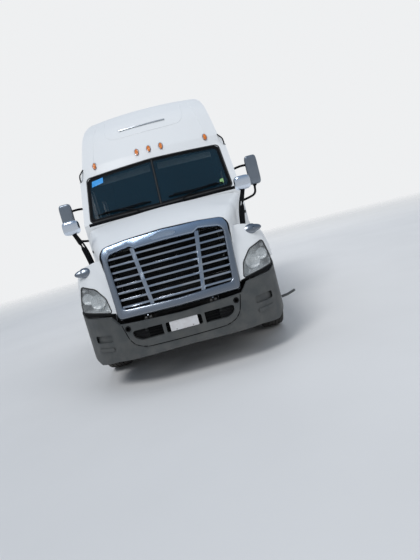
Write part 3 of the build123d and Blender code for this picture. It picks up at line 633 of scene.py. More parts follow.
def tube(places, radius, closed=False, rounding=0.0, onto=None, cuts=6):
    """A round bead or pipe through places, dropped onto a node's skin if one is given."""
    piece = trace([at(*place) for place in places], closed, rounding)
    if onto:
        select_all()
        bpy.ops.mesh.subdivide(number_cuts=cuts)
    leave()
    if onto:
        lay_on(piece, *onto)
    return beaded(piece, radius)


def front_on(rows, station):
    """Places on an upright plane seen from the front, from rows of x and z."""
    return [(x, station, z) for x, z in rows]


def side_on(rows, x):
    """Places on an upright plane seen from the side, from rows of station and z."""
    return [(x, station, z) for station, z in rows]


def corners(first, second, upward=False):
    """The corners between two pairs of limits, taken along the first pair or up the second."""
    (left, right), (low, high) = first, second
    row = [(left, low), (right, low), (right, high), (left, high)]
    return [row[0], *reversed(row[1:])] if upward else row


def both(rows):
    """Rows of x and z for the left half, completed to the right."""
    return rows + [(-x, z) for x, z in reversed(rows) if x > 0]


def carve(piece, tool, operation="DIFFERENCE"):
    """Cuts a piece with another, which is then removed."""
    modify(piece, "BOOLEAN", object=tool, operation=operation, solver="EXACT")
    bpy.data.objects.remove(tool)
    return piece


def copy_of(node, flat=0.5):
    """A merged copy of a CAD node's mesh, to be worked on."""
    piece = NODES[node].copy()
    piece.data = piece.data.copy()
    bpy.context.scene.collection.objects.link(piece)
    piece.hide_render = piece.hide_viewport = False
    piece.parent = None
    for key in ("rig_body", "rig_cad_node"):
        del piece[key]
    enter(piece)
    bpy.ops.mesh.remove_doubles(threshold=CAD_MERGE_REACH)
    bpy.ops.mesh.dissolve_limited(angle_limit=math.radians(flat))
    return leave(piece)


def lathe(rows, centre, axis, steps=48, closed=False):
    """Spins rows of distance along an axis and radius about that axis through a centre."""
    centre, along = at(*centre), Vector(axis)
    out = Vector(ACROSS if axis == UPRIGHT else UPRIGHT)
    piece = trace([centre + along * a + out * r for a, r in rows], closed)
    select_all()
    bpy.ops.mesh.spin(steps=steps, angle=math.tau, center=centre, axis=along)
    select_all()
    bpy.ops.mesh.remove_doubles(threshold=MERGE_REACH)
    bpy.ops.mesh.normals_make_consistent(inside=False)
    return leave(piece)


def ring_of(piece, count, centre, axis):
    """Repeats a piece round an axis."""
    enter(piece)
    bpy.ops.mesh.spin(
        steps=count, angle=math.tau, center=at(*centre), axis=axis, dupli=True, use_auto_merge=False,
    )
    select_all()
    bpy.ops.mesh.remove_doubles(threshold=MERGE_REACH)
    return leave(piece)


def skin(node, x, z):
    """The station at which a line from the front meets a CAD node."""
    return NODES[node].ray_cast(at(x, -1, z), Vector(LENGTHWISE))[1].y - FRONT


def overlay(node, rows, reach, proud):
    """The part of a CAD node's skin inside an outline, lifted slightly off the node."""
    near, far = reach
    return grown(carve(copy_of(node), board(front_on(rows, near), (0, far - near, 0)), "INTERSECT"), proud)


def lining(shell, kept, thickness):
    """A thin lining over the faces of a shell that pass a test."""
    return thicken(without(shell, lambda face: not kept(face)), thickness, 1)


# Grille: the chrome surround with rolled edges, its bars, the screen behind them and a bare badge pad.
GRILLE_LEAN = 0.324
GRILLE_FOOT = (0.086, 0.768)
GRILLE_BOW = 6.0
SCREEN_Z = 1.19
PAD_PLACE = (0, GRILLE_FOOT[0] + GRILLE_LEAN * (1.557 - GRILLE_FOOT[1]), 1.557)


def make_grille():
    """The grille's bright work in place of its plain solids."""
    ring = sliced(copy_of("grille_surround", 1), at(0, 0, GRILLE_FOOT[1] - 0.0005), (0, 0, -1))
    dress(ring, "grille_frame", "chrome", "hood")
    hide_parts("grille_surround")

    foot = block((-0.4, 0.4), (0.05, 0.32), (0.69, GRILLE_FOOT[1]))
    arms = carve(copy_of("grille_surround", 1), foot, "INTERSECT")
    dress(arms, "hood_hinge_arms", "black_plastic", "hood", "chassis_black")

    bars = soften(copy_of("grille_bars", 1), 0.007, 3, 50)
    dress(bars, "grille_louvres", "bar_chrome", "hood")
    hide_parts("grille_bars")

    edges = []
    for node in ("hood_panel", "fenders"):
        edge, collar = grown(copy_of(node), 0.0012), grown(copy_of("grille_surround"), 0.006)
        edges.append(carve(edge, collar, "INTERSECT"))
    dress(joined(edges), "grille_gasket", "rubber", "hood")

    calm()
    place = at(0, -0.3, 1.185)
    bpy.ops.mesh.primitive_grid_add(x_subdivisions=62, y_subdivisions=34, size=1, location=place)
    screen = bpy.context.object
    screen.scale = (1.31, 0.67, 1)
    screen.rotation_euler = (math.pi / 2, 0, 0)
    settle(screen)
    calm()
    place = at(0, GRILLE_BOW + 0.3, SCREEN_Z)
    bpy.ops.mesh.primitive_cylinder_add(vertices=512, radius=GRILLE_BOW, depth=3, location=place)
    former = settle(bpy.context.object)
    enter(former)
    for end in (1, -1):
        choose(former, lambda point: (point.co.z - SCREEN_Z) * end > 1, "VERT")
        bpy.ops.transform.translate(value=(0, end * 1.5 * GRILLE_LEAN, 0))
    leave()
    modify(screen, "SHRINKWRAP", target=former, wrap_method="PROJECT", use_project_y=True)
    bpy.data.objects.remove(former)
    modify(screen, "WIREFRAME", thickness=0.006, use_even_offset=False)
    dress(screen, "grille_screen", "black_plastic", "hood")

    x, station, z = PAD_PLACE
    pad = drum((x, station - 0.008, z), (x, station + 0.03, z), 0.5, 48)
    enter(pad)
    bpy.ops.transform.resize(value=(0.3, 1, 0.088), center_override=at(*PAD_PLACE))
    dress(soften(leave(pad), 0.006, 3), "badge_pad", "chrome", "hood")


def make_hood_lining():
    """A dark lining on the inner faces of the hood and fenders, which show through the grille."""
    nodes = ("hood_panel", "fenders")

    def faces_in(face):
        place = face.calc_center_median()
        inward = Vector((-place.x, 0, 1 - place.z)).normalized()
        above = place + face.normal * 0.004
        facing = face.normal.dot(inward) > 0.08 or face.normal.z < -0.3
        return facing and any(NODES[node].ray_cast(above, Vector(UPRIGHT))[0] for node in nodes)

    shell = lining(joined([copy_of(node, 1) for node in nodes]), faces_in, 0.002)
    dress(shell, "hood_lining", "rubber", "hood", "trim_black")


make_grille()
make_hood_lining()

# Bumper: dark filler behind its top edge, sills under the lamps, tow-eye liners, plate and bracket.
PLATE_Z = 0.624
PLATE_HALF = (0.1525, 0.076)


def make_bumper_trim():
    """Everything that is fitted to the moulded bumper, and a dark bead of painted shade along its crease."""
    dress(block((-0.67, 0.67), (0.105, 0.345), (0.682, 0.69), 0.003), "bumper_filler", "black_plastic")
    shield = block((0.425, 0.67), (0.333, 0.341), (0.693, 0.99), 0.003)
    pair(shield, "air_shield", "rubber", slot="trim_black")

    rows = [
        (0.7, 0.78), (0.705, 0.858), (0.745, 0.864), (1.112, 0.926), (1.15, 0.945), (1.215, 0.975),
        (1.215, 0.78),
    ]
    pair(overlay("fenders", rows, (-0.1, 0.62), 0.002), "lamp_sill", "black_plastic", "hood")

    rows = [(0, 0.02), (0, 0.03), (0.006, 0.031), (0.075, 0.027), (0.075, 0.02)]
    pair(lathe(rows, (0.591, 0.02, 0.69), LENGTHWISE, 28, True), "tow_eye_liner", "black_plastic")

    rows = ((0.37, 0.086), (0.45, 0.092), (0.54, 0.1), (0.64, 0.114))
    liner = curtain([(x, station, 0.505) for x, station in rows], (0, 0, 0.19), 0.006)
    pair(liner, "intake_liner", "rubber", slot="trim_black")

    slats = []
    for low, high in ((-0.19, 0.19), (0.232, 0.556), (-0.556, -0.232)):
        for z in (0.57, 0.6, 0.63):
            short = 0.045 * (z < 0.58)
            limits = (low + short * (low < -0.3), high - short * (high > 0.3))
            slats.append(block(limits, (0.042, 0.058), (z - 0.003, z + 0.003), 0.001, 1))
    dress(joined(slats), "intake_slats", "black_plastic")

    rows = both([(0, 0.5), (0.135, 0.503), (0.15, 0.53), (0.15, 0.7), (0, 0.704)])
    dress(board(front_on(rows, 0.008), (0, 0.01, 0), 0.01, 0.003), "plate_bracket", "black_plastic")
    half, rise = PLATE_HALF
    rows = corners((half, -half), (PLATE_Z - rise, PLATE_Z + rise), True)
    plate = board(front_on(rows, 0.0065), (0, 0.0015, 0), 0.012)
    framed(plate, lambda face: face.normal.y < -0.9, (0.006, 0.002), (0, -0.0008, 0))
    dress(plate, "front_plate", "blank_plate")
    bolts = [
        drum((x, 0.0062, z), (x, 0.0012, z), 0.006, 6, 0.001)
        for x in (-0.09, 0.09) for z in (PLATE_Z - 0.062, PLATE_Z + 0.062)
    ]
    dress(joined(bolts), "plate_bolts", "bare_steel")

    # Painted shade: a thin dark bead laid into the crease under the intakes darkens it as shadow would.
    rows = both([(0.65, 0.735), (0.599, 0.526), (0.464, 0.453), (0, 0.45)])
    dress(tube(front_on(rows, -1), 0.005, False, 0.085, ("bumper",), 8), "bumper_crease_shade", "black_plastic")

    peg = tube([(1.168, 0.62, 0.48), (1.24, 0.64, 0.482), (1.345, 0.7, 0.5)], 0.016, rounding=0.02)
    dress(peg, "aiming_peg", "bumper_plastic")


make_bumper_trim()


# Headlamps: clear shells over bright bowls, each with two reflectors, a clear turn lamp and a dark rim.
def border_of(piece, radius):
    """A round bead along the open border of a sheet."""
    take(piece)
    bpy.ops.object.duplicate()
    bead = bpy.context.object
    enter(bead)
    bpy.ops.mesh.delete(type="ONLY_FACE")
    leave()
    uses = {}
    for face in piece.data.polygons:
        for key in face.edge_keys:
            uses[key] = uses.get(key, 0) + 1
    enter(bead)
    choose(bead, lambda edge: uses.get(tuple(sorted(v.index for v in edge.verts)), 0) != 1, "EDGE")
    bpy.ops.mesh.delete(type="EDGE")
    select_all()
    bpy.ops.mesh.delete_loose(use_verts=True, use_edges=False, use_faces=False)
    return beaded(leave(bead), radius)


def make_headlamps():
    """Both lamps in place of their plain solids."""
    lamp = without(copy_of("headlamps", 1), lambda face: face.calc_center_median().x < 0)
    enter(lamp)
    choose(lamp, lambda face: face.normal.y < -0.08)
    bpy.ops.mesh.separate(type="SELECTED")
    leave()
    lens = [piece for piece in bpy.context.selected_objects if piece != lamp][0]
    rim = border_of(lens, 0.007)
    enter(lamp)
    bpy.ops.mesh.flip_normals()
    pair(thicken(leave(lamp), 0.003), "lamp_bowl", "reflector", "hood")

    dishes, bulbs = [], []
    for x, z, radius in ((0.905, 1.01, 0.078), (1.03, 1.06, 0.062)):
        centre = (x, skin("headlamps", x, z) + 0.06, z)
        shares = [
            (0.028, 0), (0.026, 0.35), (0.016, 0.7), (0, 1), (-0.004, 1.04), (0, 1.07), (0.022, 0.72),
            (0.032, 0.35), (0.034, 0),
        ]
        dishes.append(lathe([(a, radius * share) for a, share in shares], centre, LENGTHWISE, 36))
        rows = [(-0.01, 0), (-0.008, 0.008), (0, 0.011), (0.028, 0.011)]
        bulbs.append(lathe(rows, centre, LENGTHWISE, 16))
    rows = [(-0.012, 0), (-0.01, 0.014), (0, 0.022), (0.014, 0.024), (0.014, 0)]
    turn = lathe(rows, (1.066, skin("headlamps", 1.062, 1.155) + 0.05, 1.155), LENGTHWISE, 24)
    pair(joined(dishes), "lamp_dishes", "reflector", "hood")
    pair(joined(bulbs), "lamp_bulbs", "clear_lens", "hood")
    pair(turn, "turn_lamp", "reflector", "hood")
    pair(rim, "lamp_rim", "rubber", "hood", "trim_black")
    shells = pair(thicken(lens, 0.004), "lamp_lens", "clear_lens", "hood")
    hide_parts("headlamps")


make_headlamps()


# Windshield: printed border with its centre bar, rubber seal, wipers, blank cards and the visors behind.
def make_windshield():
    """Everything on and just behind the windshield."""
    band = copy_of("windshield_glass")
    for side in (1, -1):
        rows = [(side * 0.016, 2.008), (side * 1.012, 2.018), (side * 1.002, 2.632), (side * 0.016, 2.668)]
        carve(band, board(front_on(rows, 1.3), (0, 1.8, 0), 0.06))
    dress(grown(band, 0.0015), "windshield_border", "black_plastic")

    edge = both([(0, 1.968), (1.056, 1.978), (1.048, 2.68), (0, 2.712)])
    dress(tube(front_on(edge, 1.2), 0.011, True, 0.055, ("cab_shell",), 14), "windshield_seal", "rubber")
    bar = tube(front_on([(0, 1.985), (0, 2.698)], 1.2), 0.01, onto=("windshield_glass",), cuts=12)
    dress(bar, "windshield_bar", "rubber")

    for side, name in SIDES:
        wiper = []
        for rows, radius, gap, cuts in (
            ([(0.13, 2.052), (0.5, 2.04), (0.93, 2.062)], 0.009, 0.012, 9),
            ([(0.2, 2.056), (0.5, 2.047), (0.84, 2.06)], 0.007, 0.03, 7),
        ):
            places = front_on([(side * x, z) for x, z in rows], 1.2)
            wiper.append(tube(places, radius, False, 0, ("windshield_glass", "Y", True, gap), cuts))
        foot = skin("cab_shell", side * 0.3, 1.95)
        tip = skin("windshield_glass", side * 0.53, 2.05) - 0.034
        places = [(side * 0.3, foot - 0.004, 1.95), (side * 0.36, foot, 2), (side * 0.53, tip, 2.05)]
        wiper.append(tube(places, 0.009, rounding=0.02))
        x = side * 0.3
        wiper.append(drum((x, foot + 0.02, 1.935), (x, foot - 0.012, 1.955), 0.024, 20, 0.004))
        dress(joined(wiper), f"wiper_{name}", "black_plastic")

    rows = both([(0, 1.93), (1.085, 1.93), (1.085, 1.972), (0, 1.9665)])
    dress(overlay("cab_shell", rows, (1.6, 1.99), 0.0015), "cowl_screen", "black_plastic")

    for name, rows, bend in (
        ("blue_card", [(-0.975, 2.52), (-0.79, 2.545), (-0.785, 2.632), (-0.968, 2.612)], 0.006),
        ("green_card", [(0.885, 2.055), (0.952, 2.062), (0.955, 2.13), (0.905, 2.12)], 0.012),
    ):
        card = board(front_on(rows, 1.2), (0, 0.001, 0), bend)
        if name == "blue_card":
            modify(card, "SUBSURF", subdivision_type="SIMPLE", levels=2, render_levels=2)
        lay_on(card, "windshield_glass", gap=0.002)
        dress(thicken(card, 0.0008), name, name)

    visors = []
    for side in (1, -1):
        rows = [(side * 0.06, 2.545), (side * 0.9, 2.53), (side * 0.9, 2.625), (side * 0.06, 2.66)]
        places = [(x, 2.35 + 0.05 * x * x - (2.6 - z) * 0.6, z) for x, z in rows]
        visors.append(board(places, (0, 0.022, 0), 0.02, 0.006))
    dress(joined(visors), "sun_visors", "visor_cloth")


# Roof: lamp bases, the raised panel's outline, the bare strip over it and the joint with the cab.
def make_roof():
    """Trim on the roof cap."""
    bases = []
    for x, z in ((0, 2.88), (0.19, 2.876), (-0.19, 2.876), (0.885, 2.85), (-0.885, 2.85)):
        turns = [math.tau * i / 16 for i in range(16)]
        ring = [(x + 0.033 * math.sin(turn), z + 0.058 * math.cos(turn)) for turn in turns]
        bases.append(tube(front_on(ring, skin("roof_cap", x, z) - 0.3), 0.006, True, 0, ("roof_cap",), 1))
    dress(joined(bases), "marker_bezels", "satin_silver")

    panel = [(0.66, 3.66), (0.655, 3.45), (0.64, 3.3), (0.56, 3.215), (0.4, 3.2)]
    creases = [tube(front_on(both(panel), 1.5), 0.004, False, 0.05, ("roof_cap",), 8)]
    for side in (1, -1):
        rows = [(side * 0.905, 2.8), (side * 0.88, 3.1), (side * 0.84, 3.45), (side * 0.81, 3.66)]
        creases.append(tube(front_on(rows, 1.5), 0.004, False, 0.2, ("roof_cap",), 8))
    dress(joined(creases), "roof_creases", "white_paint")

    places = front_on([(-0.41, 3.33), (0.35, 3.33)], 1.5)
    dress(tube(places, 0.012, onto=("roof_cap", "Y", True, 0.008), cuts=40), "roof_strip", "satin_silver")

    places = side_on([(4.985, 2.763), (2.56, 2.763)], 1.4)
    pair(tube(places, 0.005, onto=("roof_cap", "X", False), cuts=8), "roof_joint", "rubber")


make_windshield()
make_roof()


# Mirrors: rounded silver heads with dark backs, on black arms.
def mirror_head(x, station, z, cuts, spans):
    """A rounded mirror housing between limits, and its glass in the flat rear face."""
    front, rear = station
    head = block(x, (front, rear + (rear - front) * 0.6), z)
    enter(head)
    bpy.ops.mesh.subdivide(number_cuts=cuts)
    modify(leave(head), "SUBSURF", levels=3, render_levels=3)
    back = at(0, rear, 0)

    def flat(face):
        return face.normal.y > 0.97 and face.calc_center_median().y > back.y - 0.001

    framed(sliced(head, back, LENGTHWISE), flat, (0.01,), (0, -0.01, 0))
    width = (x[0] + 0.022, x[1] - 0.022)
    outlines = [front_on(corners(width, span), rear - 0.014) for span in spans]
    return head, joined([board(outline, (0, 0.007, 0), 0.022, 0.002) for outline in outlines])


def make_mirrors():
    """Hood mirrors and door mirrors in place of their plain solids."""
    head, glass = mirror_head((0.958, 1.154), (0.7, 0.8), (1.826, 1.994), 1, [(1.856, 1.964)])
    arms = [
        block((0.885, 1), (0.735, 0.8), (1.372, 1.412), 0.008),
        tube(
            [(0.945, 0.77, 1.4), (0.965, 0.765, 1.56), (1.02, 0.76, 1.79), (1.052, 0.76, 1.86)],
            0.026, rounding=0.12,
        ),
        tube([(0.915, 0.79, 1.395), (0.95, 0.79, 1.64), (1.015, 0.77, 1.8)], 0.011, rounding=0.1),
    ]
    heads = pair(head, "hood_mirror_head", "bright_chrome", "hood")
    pair(glass, "hood_mirror_glass", "mirror_glass", "hood")
    pair(joined(arms), "hood_mirror_arm", "black_plastic", "hood")
    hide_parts("hood_mirrors")

    low, high = skin("fenders", 0.985, 1.32), skin("fenders", 0.985, 1.39)
    calm()
    bpy.ops.mesh.primitive_uv_sphere_add(segments=32, ring_count=16, radius=1)
    base = bpy.context.object
    base.location = at(1, (low + high) / 2, 1.362)
    base.rotation_euler.x = math.atan2(0.07, high - low)
    base.scale = (0.108, 0.062, 0.03)
    enter(settle(base))
    choose(base, lambda face: face.calc_center_median().x > 1.03)
    bpy.ops.transform.resize(value=(1.1, 0.75, 0.8))
    pair(leave(base), "mirror_base", "chrome", "hood")

    head, glass = mirror_head(
        (1.35, 1.529), (2.112, 2.198), (1.938, 2.372), 2, [(1.972, 2.062), (2.078, 2.338)],
    )
    arms = [
        tube(
            [(1.166, 2.24, 1.75), (1.3, 2.2, 1.77), (1.4, 2.17, 1.8), (1.42, 2.165, 1.955)],
            0.017, rounding=0.05,
        ),
        tube([(1.166, 2.33, 2.25), (1.27, 2.24, 2.262), (1.362, 2.175, 2.25)], 0.017, rounding=0.05),
        drum((1.158, 2.24, 1.75), (1.18, 2.24, 1.75), 0.04, 20, 0.006),
        drum((1.158, 2.33, 2.25), (1.18, 2.33, 2.25), 0.034, 20, 0.006),
        block((1.395, 1.445), (2.13, 2.2), (1.915, 1.95), 0.008),
    ]
    heads = pair(head, "door_mirror_head", "mirror_shell", DOOR)
    pair(glass, "door_mirror_glass", "mirror_glass", DOOR)
    pair(joined(arms), "door_mirror_arms", "black_plastic", DOOR)
    for head, (_, name) in zip(heads, SIDES):
        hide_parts(f"door_mirror_{name}")


# Doors and cab sides.
DOOR_WINDOW = [(2.215, 1.96), (2.57, 2.56), (3.04, 2.56), (3.04, 1.86), (2.64, 1.86)]
DOOR_EDGE = [(2.097, 1.092), (2.097, 1.985), (2.5, 2.648), (3.128, 2.648), (3.128, 1.092)]


def make_sides():
    """Seals, handles, grab rails, latches, vents and marker lamps along both sides."""
    for name, body, rows, x, radius, bend in (
        ("door_window_seal", DOOR, DOOR_WINDOW, 1.156, 0.012, 0.05),
        ("door_seal", "tractor", DOOR_EDGE, 1.156, 0.0065, 0.05),
        ("sleeper_window_seal", "tractor", corners((3.48, 3.9), (2.05, 2.45), True), 1.158, 0.013, 0.05),
        ("locker_seal", "tractor", corners((3.402, 4.078), (1.122, 1.518), True), 1.156, 0.0055, 0.035),
    ):
        pair(tube(side_on(rows, x), radius, True, bend), name, "rubber", body)
    pair(tube([(1.15, 2.64, 1.868), (1.15, 2.64, 2.552)], 0.01), "door_vent_bar", "black_plastic", DOOR)

    cup = block((1.152, 1.172), (2.9, 3.08), (1.65, 1.745), 0.006)
    framed(cup, lambda face: face.normal.x > 0.9 and face.calc_area() > 0.004, (0.012,), (-0.014, 0, 0))
    paddle = board(side_on(corners((2.925, 3.055), (1.69, 1.722)), 1.166), (0.01, 0, 0), 0.008, 0.003)
    lock = drum((1.166, 3.068, 1.665), (1.174, 3.068, 1.665), 0.008, 16, 0.001)
    pair(joined([cup, paddle, lock]), "door_handle", "black_plastic", DOOR)

    rail = [tube(
        [(1.162, 3.205, 1.3), (1.222, 3.205, 1.33), (1.222, 3.205, 1.96), (1.162, 3.205, 1.99)],
        0.015, rounding=0.03,
    )]
    rail += [drum((1.158, 3.205, z), (1.168, 3.205, z), 0.032, 20, 0.003) for z in (1.3, 1.99)]
    pair(joined(rail), "grab_rail", "satin_silver")

    latch = block((1.158, 1.172), (3.99, 4.04), (1.285, 1.355), 0.005)
    pair(latch, "locker_latch", "black_plastic", "locker_door_SIDE")

    low, high = skin("cab_shell", 1.148, 2.66), skin("roof_cap", 1.09, 2.85)
    spur = tube([(1.148, low, 2.66), (1.146, low - 0.02, 2.75), (1.09, high, 2.85)], 0.01, rounding=0.05)
    pair(spur, "drip_rail_tip", "black_plastic")
    gutter = tube([(1.166, 2.42, 2.66), (1.166, 2.56, 2.672), (1.166, 3.15, 2.672)], 0.008, rounding=0.1)
    pair(gutter, "drip_rail", "rubber")

    lamps = []
    for station, z in ((4.78, 1.3), (5.42, 1.42)):
        rows = corners((station - 0.05, station + 0.05), (z - 0.016, z + 0.016))
        lamps.append(board(side_on(rows, 1.158), (0.016, 0, 0), 0.014, 0.004))
    pair(joined(lamps), "side_marker", "amber_lens")

    heights = [1.76 + i * 0.022 for i in range(7)]
    vents = [block((1.158, 1.171), (4.52, 4.76), (z, z + 0.01), 0.002, 1) for z in heights]
    vents.append(tube(side_on(corners((4.505, 4.775), (1.745, 1.917), True), 1.164), 0.006, True, 0.015))
    pair(joined(vents), "sleeper_vent", "black_plastic")

    pair(tube([(1.166, 2.05, 1.062), (1.166, 4.99, 1.062)], 0.01), "sill_bead", "rubber")
    edge = front_on([(1.15, 1.335), (1.15, 2.69), (1.083, 2.86), (1.046, 3.3)], 5.516)
    pair(curtain(edge, (0, 0.08, 0), 0.006), "extender_flap", "rubber")
    pair(block((1.06, 1.15), (1.835, 1.868), (1.56, 1.6), 0.006), "hood_latch", "rubber", "hood")


make_mirrors()
make_sides()

# Wheels: grooved tyres, rims with hand holes, hub covers and nuts.
HUB_HEIGHT = 0.51
FRONT_AXLE = 1.29
DRIVE_AXLES = (("front", 6.425), ("rear", 7.735))
TYRE_STEPS = 90
GROOVE = ((-0.006, 0), (-0.003, 0.014), (0.003, 0.014), (0.006, 0))
NUT = ((0, 0.03, 0.0185, 6, 0.002), (-0.004, 0.005, 0.023, 20, 0.001), (0.028, 0.038, 0.01, 12, 0.002))
NUT_CIRCLE = 0.1425


def tyre_mesh(middle, width, station):
    """A tyre with four grooves round it and slots across its shoulders."""
    half = width / 2
    wall = [
        (0.02, 0.29), (0.004, 0.32), (0, 0.385), (0.003, 0.44), (0.01, 0.478), (0.018, 0.494), (0.03, 0.502),
    ]
    rows = [(x - half, radius) for x, radius in wall]
    for i in range(1, 5):
        x = -half + 0.03 + i * (width - 0.06) / 5
        crown = 0.5095 - 0.004 * abs(i - 2.5) / 2
        rows += [(x + a, crown - depth) for a, depth in GROOVE]
    rows += [(half - x, radius) for x, radius in reversed(wall)]
    tyre = lathe(rows, (middle, station, HUB_HEIGHT), ACROSS, TYRE_STEPS, True)
    centre = at(middle, station, HUB_HEIGHT)

    def shoulder(face):
        place = face.calc_center_median() - centre
        turn = round(math.atan2(place.z, place.y) / math.tau * TYRE_STEPS - 0.5)
        radius = math.hypot(place.y, place.z)
        return turn % 2 == 0 and radius > 0.484 and abs(place.x) > half - 0.034

    def band(face):
        return 0.318 < math.hypot(*(face.calc_center_median() - centre).yz) < 0.386

    enter(tyre)
    for test, rim, rise in ((shoulder, 0.003, -0.008), (band, 0.006, 0.0015)):
        choose(tyre, test)
        bpy.ops.mesh.inset(thickness=rim)
        bpy.ops.transform.shrink_fatten(value=rise)
    return leave(tyre)


def bar_across(station, start, end, rise, *shape):
    """A drum parallel to an axle, at a height above its middle."""
    height = HUB_HEIGHT + rise
    return drum((start, station, height), (end, station, height), *shape)


def make_wheels():
    """Tyres in place of the plain rings, and what is bolted to the rims."""
    tyres = pair(tyre_mesh(1.045, 0.29, FRONT_AXLE), "steer_tyre", "tyre_rubber", "wheel_front_SIDE")
    for made, (_, side) in zip(tyres, SIDES):
        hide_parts(f"tyre_front_{side}")
    for place, station in DRIVE_AXLES:
        twins = joined([tyre_mesh(0.736, 0.276, station), tyre_mesh(1.079, 0.276, station)])
        tyres = pair(twins, f"twin_tyres_{place}", "tyre_rubber", f"twin_wheels_{place}_SIDE")
        for made, (_, side) in zip(tyres, SIDES):
            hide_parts(f"tyres_drive_{place}_{side}")

    steer_hub = [(0, 0.078), (0.03, 0.076), (0.04, 0.062), (0.043, 0)]
    drive_hub = [(0.19, 0.108), (0.214, 0.104), (0.232, 0.088), (0.236, 0)]
    body = "wheel_front_SIDE"
    wheels = [("steer", "front", "rim_front_left", body, FRONT_AXLE, 1.158, steer_hub, 1.12, 0.205)]
    for axle, station in DRIVE_AXLES:
        place, body = f"drive_{axle}", f"twin_wheels_{axle}_SIDE"
        wheels.append((place, place, f"rims_{place}_left", body, station, 0.932, drive_hub, 0.9, 0.214))
    for name, place, node, body, station, face, hub, middle, circle in wheels:
        centre = (face, station, HUB_HEIGHT)
        nut = [bar_across(station, face + low, face + high, NUT_CIRCLE, *shape) for low, high, *shape in NUT]
        pair(ring_of(joined(nut), 10, centre, ACROSS), f"{name}_nuts", "bare_steel", body)
        end = face + hub[1][0]
        bolt = bar_across(station, end - 0.004, end + 0.016, 0.068, 0.006, 6, 0.001)
        cover = joined([thicken(lathe(hub, centre, ACROSS, 40), 0.003), ring_of(bolt, 8, centre, ACROSS)])
        pair(cover, f"{name}_hub_cover", "bright_chrome", body)

        hole = bar_across(station, middle - 0.12, middle + 0.12, circle, 0.026)
        rim = carve(copy_of(node, 1), ring_of(hole, 10, centre, ACROSS))
        for made, (_, side) in zip(pair(rim, f"wheel_disc_{place}", "wheel_aluminium", body), SIDES):
            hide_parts(node.replace("left", side))


make_wheels()


# Inside the cab: lining, padded seats and bunk, instruments and the steering wheel.
def make_lining():
    """A grey lining on the cab's inner faces, so that white paint doesn't show through the glass."""
    heart = at(0, 3.4, 2.3)

    def faces_in(face):
        place = face.calc_center_median()
        ahead = min(max(place.y, heart.y - 0.8), heart.y + 1)
        target = Vector((0, ahead, min(max(place.z, 1.7), 3)))
        return place.y > FRONT + 2.02 and face.normal.dot((target - place).normalized()) > 0.08

    shell = joined([copy_of("cab_shell", 1), copy_of("roof_cap", 1)])
    dress(lining(shell, faces_in, 0.004), "cab_lining", "grey_lining")
    panel = lining(copy_of("door_left", 1), lambda face: face.normal.x <= -0.9, 0.004)
    pair(panel, "door_lining", "grey_lining", DOOR)


PAD_PRESSURE = 4.0
PAD_STEPS = 20


def padded_form(piece, voxel, cap):
    """Blows a closed form up under its own cover, with no point moving further than the cap."""
    soften(piece, 0.035, 3, 30)
    modify(piece, "REMESH", mode="VOXEL", voxel_size=voxel)
    start = [vertex.co.copy() for vertex in piece.data.vertices]
    take(piece)
    cover = piece.modifiers.new("cover", "CLOTH").settings
    cover.use_pressure = True
    cover.uniform_pressure_force = PAD_PRESSURE
    cover.effector_weights.gravity = 0
    cover.quality = 4
    for step in range(1, PAD_STEPS + 1):
        bpy.context.scene.frame_set(step)
    bpy.ops.object.modifier_apply(modifier="cover")
    bpy.context.scene.frame_set(1)
    for vertex, before in zip(piece.data.vertices, start):
        moved = vertex.co - before
        if moved.length > cap:
            vertex.co = before + moved.normalized() * cap
    return modify(piece, "SUBSURF", levels=1, render_levels=1)


